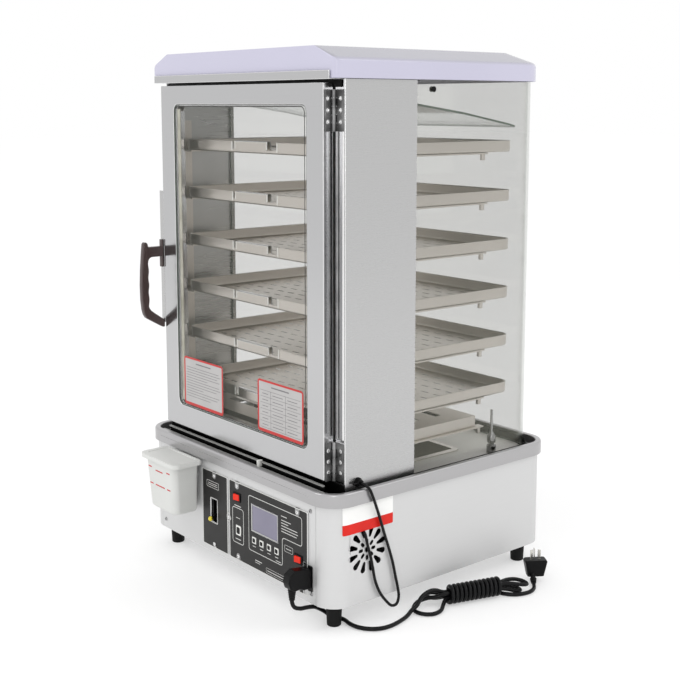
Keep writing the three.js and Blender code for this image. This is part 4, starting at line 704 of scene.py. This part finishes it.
# Glass: one toughened sheet bent round the right side, the back and the left side,
# a flat one in the door, and the clear sloping shield that sheds the condensate.
def clear_sheet(name, tint, least):
    """Clear sheet: tinted seen straight through, bright at a low angle, with faint smears."""
    finish = Finish(name, tint, 0.03, 1.0)
    low_angle = finish.node("ShaderNodeLayerWeight", {}, {"Blend": 0.5}, "Facing") ** 4
    smears = finish.cloud(6, 4, (1, 1, 0.35))
    finish.set("Alpha", least + 0.02 * smears + 0.7 * low_angle)
    finish.set("Base Color", finish.blend(2 * low_angle, finish.colour, paint("#D8DCD8")))
    finish.set("Roughness", 0.02 + 0.05 * smears)
    return finish


side_glass = clear_sheet("side_glass", "#828379", 0.14)
door_clear = clear_sheet("door_clear", "#77786E", 0.07)
glass_edge = Finish("glass_edge", "#4C5D52", 0.12, 0.0, Coat_Weight=0.6)
glass_edge.mottle(30, 2, "#3C4B42", "#66786C")
for node, name, finish, body in (
    ("bent_glass", "bent_side_glass", side_glass, "cabinet"),
    ("door_glass", "door_pane", door_clear, "door"),
    ("condensate_shield", "shield_sheet", door_clear, "cabinet"),
):
    pane = fit(name, solid_copy(node), [finish, glass_edge], body, node, sharp=30)
    front_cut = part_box(node)[0].y + 0.5 * MM
    if node == "bent_glass":
        second_finish(pane, lambda face: abs(face.normal.z) > 0.9 or face.center.y < front_cut)
    elif node == "door_glass":
        second_finish(pane, lambda face: abs(face.normal.y) < 0.7)
    else:
        second_finish(pane, lambda face: abs(face.normal.x) > 0.9 or abs(face.normal.z) < 0.7)
dressed("glass_bung", "glass_plug", black_moulding, "black_rubber", 0.5, sharp=50)


# Lid: vacuum-formed in a pale lilac plastic, with a straight skirt, a sloping
# shoulder all round and a flat top.
lid_plastic = Finish(
    "lid_plastic", "#C2C0D0", 0.24, Specular_IOR_Level=0.3, Coat_Weight=0.2, Coat_Roughness=0.12,
)
lid_shade = lid_plastic.blend(lid_plastic.cloud(3, 3), paint("#BAB8CA"), paint("#C4C2D4"))
lid_height = lid_plastic.node("ShaderNodeSeparateXYZ", {}, {"Vector": lid_plastic.place()}, 2)
skirt_top, shoulder_start = 1034 * MM, 1042 * MM
shoulder_values = {"Value": lid_height, 1: skirt_top, 2: shoulder_start}
shoulder_shade = lid_plastic.node("ShaderNodeMapRange", {}, shoulder_values)
lid_normal = lid_plastic.node("ShaderNodeTexCoord", {}, {}, "Normal")
lid_front = lid_plastic.node("ShaderNodeSeparateXYZ", {}, {"Vector": lid_normal}, 1) < -0.6
# The sloping shoulder, except where it faces the front, is painted a darker grey: painted shade for the
# light it takes from above.
lid_plastic.set("Base Color", lid_plastic.blend(shoulder_shade * (1 - lid_front), lid_shade, paint("#A3A2AB")))
lid_plastic.vary_gloss(0.22, 0.05, 8, 2)
bm = bmesh.new()
loops = []
shoulder_wide = 58
for share, height in (
    (0, 1004.1), (0, 1033), (0.02, 1036), (0.05, 1038.6), (0.1, 1040.9), (0.92, 1059.2), (0.97, 1060.5),
    (1.03, 1061.1),
):
    inset = shoulder_wide * share
    across, along = (inset - 306, 306 - inset), (-237, 317 - inset)
    loops.append(ring_at(bm, across, along, height, 12 - 10 * share, 68 - 50 * share, steps=14))
skin(bm, loops, -1)
fit("lid_shell", bm, lid_plastic, "cabinet", "lid", wall=3, sharp=60)


# Trays: six pressed stainless pans on the racks, perforated for the steam, with a
# rolled hem, two notches in front and a folded lip between them to pull them by.
tray_section = (
    (6, -23), (2.6, -22.5), (0.8, -21), (0, -18.5), (0.3, -2.6), (-0.4, -2.2), (-0.7, -1.1), (-0.4, -0.2),
    (0.3, 0), (0.9, -0.4),
)
tray_front, tray_depth = -193, 23
notch_depth, notch_inner, notch_outer = 15, 54, 74
fold_section = (
    (-193, -15), (-193, 0.4), (-193.8, 1.5), (-200.4, 1.5), (-201.6, 0.9), (-202, -0.4), (-202, -16.5),
)


def tray_pan(name, body, node, top):
    """A tray with its rim's top at a height in millimetres."""
    bm = bmesh.new()
    loops = []
    for inset, rise in tray_section:
        across, along = (inset - 255, 255 - inset), (inset + tray_front, 273 - inset)
        loops.append(ring_at(bm, across, along, top + rise, 22 - inset, steps=8))
    skin(bm, loops)
    for edge in (-notch_inner, -notch_outer, notch_inner, notch_outer):
        cut_through(bm, (edge * MM, 0, 0), (1, 0, 0))
    cut_through(bm, (0, 0, (top - notch_depth) * MM), (0, 0, 1))
    notches = []
    for face in bm.faces:
        middle = face.calc_center_median() / MM
        in_front = middle.y < tray_front + 8 and middle.z > top - notch_depth
        if in_front and notch_inner < abs(middle.x) < notch_outer:
            notches.append(face)
    bmesh.ops.delete(bm, geom=notches, context="FACES")
    floor_level = top - tray_depth
    floor_rim = [e for e in bm.edges if all(abs(v.co.z / MM - floor_level) < 0.01 for v in e.verts)]
    holes = []
    for i in range(13):
        for j in range(12):
            ring = bmesh.ops.create_circle(bm, segments=8, radius=2.6 * MM)["verts"]
            for vert in ring:
                vert.co.x += math.copysign(8 * MM, vert.co.x)
            place = Vector((37 * (i - 6), 40 + 36 * (j - 5.5), floor_level)) * MM
            bmesh.ops.translate(bm, vec=place, verts=ring)
            holes += rim_of(ring)
    punched(bm, floor_rim, holes, (0, 0, 1))
    fold = [bm.verts.new(Vector((-notch_inner, y, top + z)) * MM) for y, z in fold_section]
    line = [bm.edges.new(pair) for pair in zip(fold, fold[1:])]
    far = verts_of(bmesh.ops.extrude_edge_only(bm, edges=line)["geom"])
    bmesh.ops.translate(bm, vec=(2 * notch_inner * MM, 0, 0), verts=far)
    tip_level = top + fold_section[-1][1]
    tips = [v for v in [fold[-1], *far] if abs(v.co.z / MM - tip_level) < 0.01]
    rounded(bm, tips, 5, 5)
    # The hem's top faces and the sheet's cut edges wear the bright steel: a painted highlight.
    pan = fit(name, bm, [tray_steel, edge_highlight_steel], body, node, wall=1.2)
    pan.modifiers["wall"].material_offset_rim = 1
    second_finish(pan, lambda face: face.center.z > (top - 0.4) * MM)
    return pan


edge_glint = Finish("edge_glint", "#F2F1EC", 0.3, 0.3)
edge_glint.vary_gloss(0.24, 0.14, 150, 2)
lowest_tray, tray_pitch = 387, 100
for k in range(6):
    body, top = f"tray_{k + 1}_body", lowest_tray + tray_pitch * k
    tray_pan(f"tray_pan_{k + 1}", body, f"tray_{k + 1}", top)
    # Thin bright bars on the lip's ends and the notches' sides: painted highlights along their edges.
    edges = []
    for side in (-1, 1):
        for near, far, front, rear, low, high in (
            (51.8, 54.6, -202.7, -200.2, -14.5, 0.8), (74, 77.4, -194.6, -191.6, -19, -0.4),
        ):
            x0, x1 = sorted((side * near, side * far))
            edges.append((x0, x1, front, rear, top + low, top + high, 0))
    bars(f"tray_edge_glints_{k + 1}", edges, [edge_glint], body)


# Door: a folded stainless frame round a flat pane that lies against a dark seal,
# a soft gasket behind it, and two notices stuck on the glass, left without words.
dark_seal = Finish("dark_seal", "#2A2A28", 0.5)
dark_seal.vary_gloss(0.4, 0.25, 60, 3)
gasket_soft = Finish("gasket_silicone", "#B9B9B2", 0.55, Subsurface_Weight=0.1, Subsurface_Scale=0.004)
gasket_soft.vary_gloss(0.45, 0.2, 80, 3)
strip_pale = Finish("strip_pale", "#D8D5C4", 0.4)
strip_pale.vary_colour(2 * strip_pale.cloud(14, 4, (0.01, 0.01, 1)) - 0.5, "#9C9784", "#EFEDE0")
# The door frame's rounded edges wear the bright steel: a painted highlight.
dressed("door_sheet", "door_frame", [door_steel, edge_highlight_steel], "steel", 1.2, body="door", steps=3, trim=1)
dressed("door_strip", "handle_strip", panel_steel, "steel", 0.5, body="door")
dressed("door_seal", "door_gasket", gasket_soft, "black_rubber", 0.8, body="door")


window_level, notice_level, border_level, rules_level = -233.8, -233.72, -233.85, -233.84
bm = bmesh.new()
outer_ring = flat_ring(bm, (-225.5, 214.5), (328.8, 955.8), window_level, 12, steps=10)
inner_ring = flat_ring(bm, (-223.9, 212.9), (330.4, 954.2), window_level, 10.4, steps=10)
punched(bm, outer_ring, inner_ring, (0, -1, 0), 0.35 * MM)
fit("window_seal", bm, dark_seal, "door")
bars("window_strip", [(-222.5, -212.5, -229.4, -227, 336, 950, 0)], [strip_pale], "door")
notice_film = Finish("notice_film", "#B2B0AF", 0.4)
notice_film.mottle(25, 3, "#A9A7A6", "#BAB8B7")
notice_red = Finish("notice_red", "#B91D1A", 0.4)
notice_red.mottle(40, 3, "#AD1815", "#C62420")
rule_grey = Finish("rule_grey", "#6E6C6E", 0.5)
rule_grey.mottle(300, 2, "#5E5C5E", "#868486")
heading = (0.28, 0.72, 421, 423.6)
text_pitch, table_pitch, margin = 5.6, 12.2, 9
text_rows, table_rows = [heading], [heading]
for i, share in enumerate((0.94, 0.99, 0.9, 0.97, 0.62, 0.95, 0.99, 0.88, 0.5, 0.96, 0.9, 0.7)):
    text_rows.append((0, share, 412 - text_pitch * i, 413.1 - text_pitch * i))
table_rows += [(0, 1, 413 - table_pitch * i, 413.8 - table_pitch * i) for i in range(7)]
table_rows += [(x, x + 0.008, 340, 413) for x in (0.26, 0.63)]
for i in range(6):
    for x, length in ((0.05, 0.15), (0.31, 0.26), (0.68, 0.24)):
        table_rows.append((x, x + length, 406.4 - table_pitch * i, 407.8 - table_pitch * i))
for side, left, right, rows in (("left", -206, -60, text_rows), ("right", 61, 207, table_rows)):
    bm = bmesh.new()
    punched(bm, flat_ring(bm, (left, right), (331, 434), notice_level, 7), [], (0, -1, 0), 0.12 * MM)
    fit(f"{side}_notice", bm, notice_film, "door")
    bm = bmesh.new()
    outer = flat_ring(bm, (left, right), (331, 434), border_level, 7)
    inner = flat_ring(bm, (left + 4.5, right - 4.5), (337, 430), border_level, 2.5)
    punched(bm, outer, inner, (0, -1, 0), 0.1 * MM)
    fit(f"{side}_notice_border", bm, notice_red, "door")
    bm = bmesh.new()
    wide = right - left - 2 * margin
    places = [(left + margin + wide * x0, left + margin + wide * x1, z0, z1) for x0, x1, z0, z1 in rows]
    rules(bm, places, rules_level, 0.06)
    fit(f"{side}_notice_rules", bm, rule_grey, "door")


# Handle: a dark brown moulded grip with finger waves, on the steel strip at the
# door's left edge.
brown_plastic = Finish("brown_plastic", "#3B2B2A", 0.32, Coat_Weight=0.2)
brown_plastic.mottle(18, 4, "#2E2121", "#4A3836")
brown_plastic.vary_gloss(0.26, 0.2, 50, 3)
brown_plastic.relief(brown_plastic.cloud(1100, 2), 0.08 * MM, 0.4)
dressed("handle_grip", "door_handle", brown_plastic, "brown_plastic", 1.6, body="door", steps=3, sharp=32)


# Hinges: two steel butt hinges, with three flat-headed screws in each leaf. The
# leaves are drawn a little taller than the solids.
hinge_steel = Finish("hinge_steel", "#6C6C6C", 0.3, 1.0)
# Dark and light patches in its colour are painted reflections and shade.
hinge_steel.vary_colour(2.6 * hinge_steel.cloud(24, 1) - 0.8, "#464646", "#9A9A9A")
hinge_steel.vary_gloss(0.2, 0.2, 120, 3)
leaf_half, leaf_stretch = 34 * MM, 1.18
pin, knuckle_radius = Vector((272.1, -213.8)) * MM, 3.9 * MM
for end in ("lower", "upper"):
    for part, body in (("frame", "cabinet"), ("door", "door")):
        bm = solid_copy(f"{end}_{part}_leaf")
        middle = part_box(f"{end}_{part}_leaf")[0].z + leaf_half
        bmesh.ops.scale(
            bm, vec=(1, 1, leaf_stretch), space=Matrix.Translation((0, 0, -middle)), verts=bm.verts,
        )
        leaf = fit(
            f"{end}_{part}_hinge", bm, [hinge_steel, edge_highlight_steel], body, f"{end}_{part}_leaf", edge=0.4,
            sharp=50,
        )
        # The knuckle faces wear the bright steel: a painted highlight along the pin.
        second_finish(leaf, lambda face: (face.center.xy - pin).length < knuckle_radius)
    low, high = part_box(f"{end}_frame_leaf")
    heights = [(low.z + (high.z - low.z) * share) / MM for share in (0.17, 0.5, 0.83)]
    places = [(high.x / MM - 8.6, high.y / MM - 2, height) for height in heights]
    screws(f"{end}_frame_screws", places, 4, FRONTWARDS, "cabinet", dome=0.26)
    low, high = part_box(f"{end}_door_leaf")
    places = [(low.x / MM + 2, low.y / MM + 6, height) for height in heights]
    screws(f"{end}_door_screws", places, 4, RIGHTWARDS, "door", dome=0.26)


# Label: a white sticker with a red lower third, left without words, which runs a
# little way round the front right corner of the base.
label_film = Finish("label_film", "#F1F1EF", 0.4)
label_red = Finish("label_red", "#D51A0C", 0.4, Specular_IOR_Level=0.3)
label_red.mottle(40, 2, "#C81408", "#E02012")
label_film.mottle(30, 2, "#EAEAE8", "#F7F7F5")
corner_x, corner_y, label_radius = 269, -211, 45.7
bm = bmesh.new()
columns = []
for y in (-227, -223, -219, -215, corner_y, -107):
    x = corner_x + math.sqrt(label_radius**2 - min(y - corner_y, 0) ** 2)
    columns.append([bm.verts.new(Vector((x, y, z)) * MM) for z in (184, 204, 239)])
for near, far in zip(columns, columns[1:]):
    for row in (0, 1):
        bm.faces.new((near[row], far[row], far[row + 1], near[row + 1])).material_index = 1 - row
rounded(bm, [columns[i][j] for i in (0, -1) for j in (0, 2)], 2.4, 4)
fit("base_label", bm, [label_film, label_red], "cabinet", wall=0.15, outwards=False)


# Mains lead: a round black lead in soft vinyl. It drops from the connector on the
# front, turns round the right foot, is folded to and fro four times as it was
# packed, wound round itself twelve times, and its tail runs out to the plug.
lead_vinyl = Finish(
    "lead_vinyl", "#060607", 0.26, Specular_IOR_Level=0.12, Coat_Weight=0.12, Coat_Roughness=0.08,
)
lead_scuffs = lead_vinyl.cloud(60, 4)
lead_vinyl.set("Roughness", 0.22 + 0.26 * lead_scuffs)
lead_vinyl.vary_colour(lead_scuffs, "#050506", "#101012")
lead_vinyl.relief(lead_vinyl.cloud(900, 2), 0.1 * MM, 0.3)


def smooth_line(points, gap=4 * MM):
    """Points about a gap apart on the smooth curve through the given ones."""
    ends = [2 * points[0] - points[1], *points, 2 * points[-1] - points[-2]]
    line = []
    for before, start, stop, after in zip(ends, ends[1:], ends[2:], ends[3:]):
        spans = [math.sqrt((b - a).length) for a, b in ((before, start), (start, stop), (stop, after))]
        slope = (stop - start) / spans[1]
        leave = (start - before) / spans[0] - (stop - before) / (spans[0] + spans[1]) + slope
        arrive = slope - (after - start) / (spans[1] + spans[2]) + (after - stop) / spans[2]
        third = spans[1] / 3
        steps = max(2, math.ceil((stop - start).length / gap))
        handles = (start + leave * third, stop - arrive * third)
        line += interpolate_bezier(start, *handles, stop, steps + 1)[:-1]
    return [*line, points[-1]]


def cord_along(name, line, diameter, finish, body, *nodes):
    """A round cord as a curve of one open spline, which rides on a body and stands for its solids."""
    data = bpy.data.curves.new(name, "CURVE")
    data.dimensions = "3D"
    data.bevel_depth = diameter / 2
    data.bevel_resolution = 4
    data.use_fill_caps = True
    spline = data.splines.new("POLY")
    spline.points.add(len(line) - 1)
    for point, place in zip(spline.points, line):
        point.co = (*place, 1)
    spline.use_smooth = True
    made = bpy.data.objects.new(name, data)
    bpy.context.scene.collection.objects.link(made)
    data.materials.append(finish.material)
    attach(made, body)
    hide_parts(*nodes)
    return made


lead_diameter = 8 * MM
lead_run = [
    (250, -295.6, 65.7), (250, -295.6, 58), (250.3, -291, 47), (251, -278, 40.5), (251.5, -262, 38.5),
    (252, -245, 35), (252.5, -227, 24), (254, -211, 11), (262, -199, 5.2), (278, -195, 4.5),
    (300, -198, 4.5), (321, -195, 4.5), (340, -182, 4.5), (351, -163, 4.5), (353, -141, 4.5),
    (348, -113, 4.6), (343, -94, 6), (337.5, -78, 10),
]
lead_folds = [
    (-67, 13, -4), (-54, 4, 5), (-40, -2, 10), (-27, -4.5, 12), (-16, -4.6, 10.5), (-7, -4.4, 6.5),
    (2, -4.3, 4.4), (14, -4.3, 4.3), (62, -4.3, 4.3), (112, -4.3, 4.3), (122, -4.4, 4.4), (131, -6.2, 5.2),
    (144, -9.5, 5), (164, -12, 1.5), (178, -6, -2.5), (179, 6, -3.5), (166, 12, -0.5), (145, 9.5, 3.8),
    (132, 6.2, 4.8), (122, 4.5, 4.4), (112, 4.3, 4.3), (62, 4.3, 4.3), (14, 4.3, 4.3), (2, 4.3, 4.2),
    (-9, 3.9, 3), (-20, 0, -0.5), (-33, -8, -3.5), (-50, -13, -9), (-66, -3, -13.6), (-71, 14, -14.8),
    (-62, 31, -14.8), (-44, 38, -14.8), (-25, 31, -14), (-12, 16, -10), (-3, 7, -6), (4, 4.5, -4.4),
    (14, 4.3, -4.3), (62, 4.3, -4.3), (110, 4.3, -4.3), (120, 4.5, -4.6), (130, 5.8, -6), (142, 8.5, -9),
    (154, 10, -13), (165, 4, -14.8), (165.5, -7, -14.8), (155, -14, -13), (142, -10.5, -9), (130, -6.2, -6),
    (120, -4.5, -4.6), (110, -4.3, -4.3), (62, -4.3, -4.3), (14, -4.3, -4.3), (2, -4.5, -4.4),
    (-9, -6.5, -5.5), (-20, -11, -6.5), (-28, -19, -6.5), (-27, -29, -6), (-17, -33, -5.5), (-5, -27, -5.5),
]
lead_tail = [
    (122, 0.5, -15), (128, 9, -14.8), (137, 16, -14.8), (148, 20.5, -14.8), (163, 22, -14.8),
    (181, 18, -14.8), (195, 7, -14.8), (203, -6, -14.4), (207, -14, -12), (210, -20.5, -7.5),
]
winding_start = Vector((343, 5, 0))
winding_end = Vector((381, 129, 0))
strand_pitch = 8.6
winding_radius = strand_pitch / math.sqrt(2) + lead_diameter / MM + 0.8
winding_pitch, winding_turns, turn_steps = 9.4, 12, 24
first_turn, first_angle = 6, 3.98
winding_along = (winding_end - winding_start).normalized()
winding_across = Vector((winding_along.y, -winding_along.x, 0))


def in_winding(along, across, up):
    """A point given along, across and above the axis of the wound lead."""
    lift = winding_radius + strand_pitch / 2 + up
    return (winding_start + winding_along * along + winding_across * across + Vector((0, 0, lift))) * MM


wound = []
for step in range(winding_turns * turn_steps + 1):
    angle = first_angle + math.tau * step / turn_steps
    across, up = winding_radius * math.cos(angle), winding_radius * math.sin(angle)
    wound.append(in_winding(first_turn + winding_pitch * step / turn_steps, across, up))
lead_start = [Vector(p) * MM for p in lead_run] + [in_winding(*p) for p in lead_folds]
lead_line = smooth_line(lead_start + wound[:2])
lead_end = smooth_line(wound[-2:] + [in_winding(*p) for p in lead_tail])
lead_line = lead_line[:-1] + wound[1:] + lead_end[3:]
mains_lead = cord_along(
    "mains_lead", lead_line, lead_diameter, lead_vinyl, "cabinet", "mains_cord", "mains_hank",
)


# Connector on the front and plug at the far end: both moulded in one with a
# ribbed sleeve that keeps the lead from kinking; the plug has three flat pins.
pin_metal = Finish("pin_metal", "#D8D6CF", 0.2, 1.0)
pin_metal.set("Roughness", 0.16 + 0.16 * pin_metal.cloud(180, 3, (1, 1, 0.1)))
connector = fit(
    "connector_body", solid_copy("mains_connector"), black_moulding, "cabinet", "mains_connector",
    edge=1, steps=3,
)
plug = fit(
    "plug_body", solid_copy("mains_plug"), [black_moulding, pin_metal], "cabinet", "mains_plug",
    edge=0.5,
)
pins_foot = 47.5 * MM
second_finish(plug, lambda face: face.center.z > pins_foot)
rib_rise = 0.12


def sleeve(name, line, radii, ribs, body):
    """A tapered sleeve round the end of a lead; every second ring is raised as a rib."""
    bm = bmesh.new()
    loops = []
    for i, (place, radius) in enumerate(zip(line, radii)):
        ahead = line[min(i + 1, len(line) - 1)] - line[max(i - 1, 0)]
        at = Matrix.Translation(place) @ ahead.to_track_quat("Z", "Y").to_matrix().to_4x4()
        grown = radius * (1 + rib_rise * (i % 2) * (i < ribs))
        loops.append(rim_of(bmesh.ops.create_circle(bm, segments=20, radius=grown, matrix=at)["verts"]))
    skin(bm, loops)
    bmesh.ops.holes_fill(bm, edges=bm.edges, sides=30)
    return fit(name, bm, black_moulding, body, edge=0.3, sharp=25)


def taper(first, last, count):
    """Evenly spaced radii from the first to the last."""
    return [first + (last - first) * i / (count - 1) for i in range(count)]


lead_top, rib_gap, rib_count = 82, 1.75, 12
drop = [Vector((250, -295.6, lead_top - rib_gap * i)) * MM for i in range(rib_count + 1)]
connector_radii = taper(7.4 * MM, 4.9 * MM, len(drop))
connector_sleeve = sleeve("connector_sleeve", drop, connector_radii, rib_count, "cabinet")
tail = smooth_line(lead_line[-5:], 2 * MM)
plug_sleeve = sleeve("plug_sleeve", tail, taper(4.8 * MM, 6.4 * MM, len(tail)), 20, "cabinet")


# Sensor lead: a thinner black lead. It leaves the gland low in the right side
# panel, hangs down past the round vent, turns back up and goes in through it.
sensor_diameter = 5.6 * MM
sensor_run = [
    (308, -179, 273), (312, -178.9, 272.9), (318.5, -177, 271), (324.5, -173, 264.5), (326.6, -168, 252),
    (324.8, -157, 228), (321, -145, 203), (320, -133, 170), (320, -122, 140), (320, -112, 110),
    (320, -105, 82), (321, -99, 55), (322, -97.5, 38), (322.5, -103, 25.5), (322.5, -115, 25),
    (322, -131, 40), (321, -145, 60), (320, -155, 84), (319.5, -161, 112), (319.5, -166, 133),
    (319.5, -173, 156), (320, -177.6, 172), (319, -178.9, 179.5), (314.5, -178.9, 181.8),
    (306, -178.9, 181.8),
]
sensor_line = smooth_line([Vector(p) * MM for p in sensor_run])
sensor_lead = cord_along("sensor_lead", sensor_line, sensor_diameter, lead_vinyl, "cabinet", "sensor_cord")
gland = fit("gland_nut", solid_copy("sensor_gland"), black_moulding, "cabinet", "sensor_gland", edge=0.5)


# Floor and light: a pale floor, an even bright sky, and soft lamps that put thin
# highlights on the folds and corners.
floor_bm = bmesh.new()
bmesh.ops.create_grid(floor_bm, x_segments=1, y_segments=1, size=30)
floor_mesh = bpy.data.meshes.new("floor")
floor_bm.to_mesh(floor_mesh)
floor_bm.free()
floor = bpy.data.objects.new("floor", floor_mesh)
bpy.context.scene.collection.objects.link(floor)
floor_finish = Finish("floor_paint", "#D2D2D2", 0.9, Specular_IOR_Level=0.0, Emission_Strength=0.36)
floor_finish.set("Emission Color", (1, 1, 1, 1))
floor_mesh.materials.append(floor_finish.material)

sky = bpy.data.worlds.new("sky")
sky.use_nodes = True
sky.node_tree.nodes["Background"].inputs["Color"].default_value = (1, 1, 1, 1)
sky.node_tree.nodes["Background"].inputs["Strength"].default_value = 1.0
bpy.context.scene.world = sky
bpy.context.scene.view_settings.view_transform = "Standard"
bpy.context.scene.cycles.transparent_max_bounces = 24


def lamp(name, place, aim, wide, tall, power):
    """A soft rectangular lamp at a place, aimed at a point."""
    light = bpy.data.lights.new(name, "AREA")
    light.shape = "RECTANGLE"
    light.size, light.size_y = wide, tall
    light.energy = power
    made = bpy.data.objects.new(name, light)
    made.location = place
    made.rotation_euler = (Vector(aim) - Vector(place)).to_track_quat("-Z", "Y").to_euler()
    bpy.context.scene.collection.objects.link(made)


lamp("corner_lamp", (2.9, -2.6, 1.7), (0.3, -0.2, 0.5), 0.5, 2.4, 14)
lamp("left_lamp", (-1.4, -2.6, 3.0), (-0.6, -1.4, 0), 1.6, 1.6, 22)
lamp("right_lamp", (2.4, 1.6, 3.0), (1.3, 0.5, 0), 1.6, 1.6, 18)
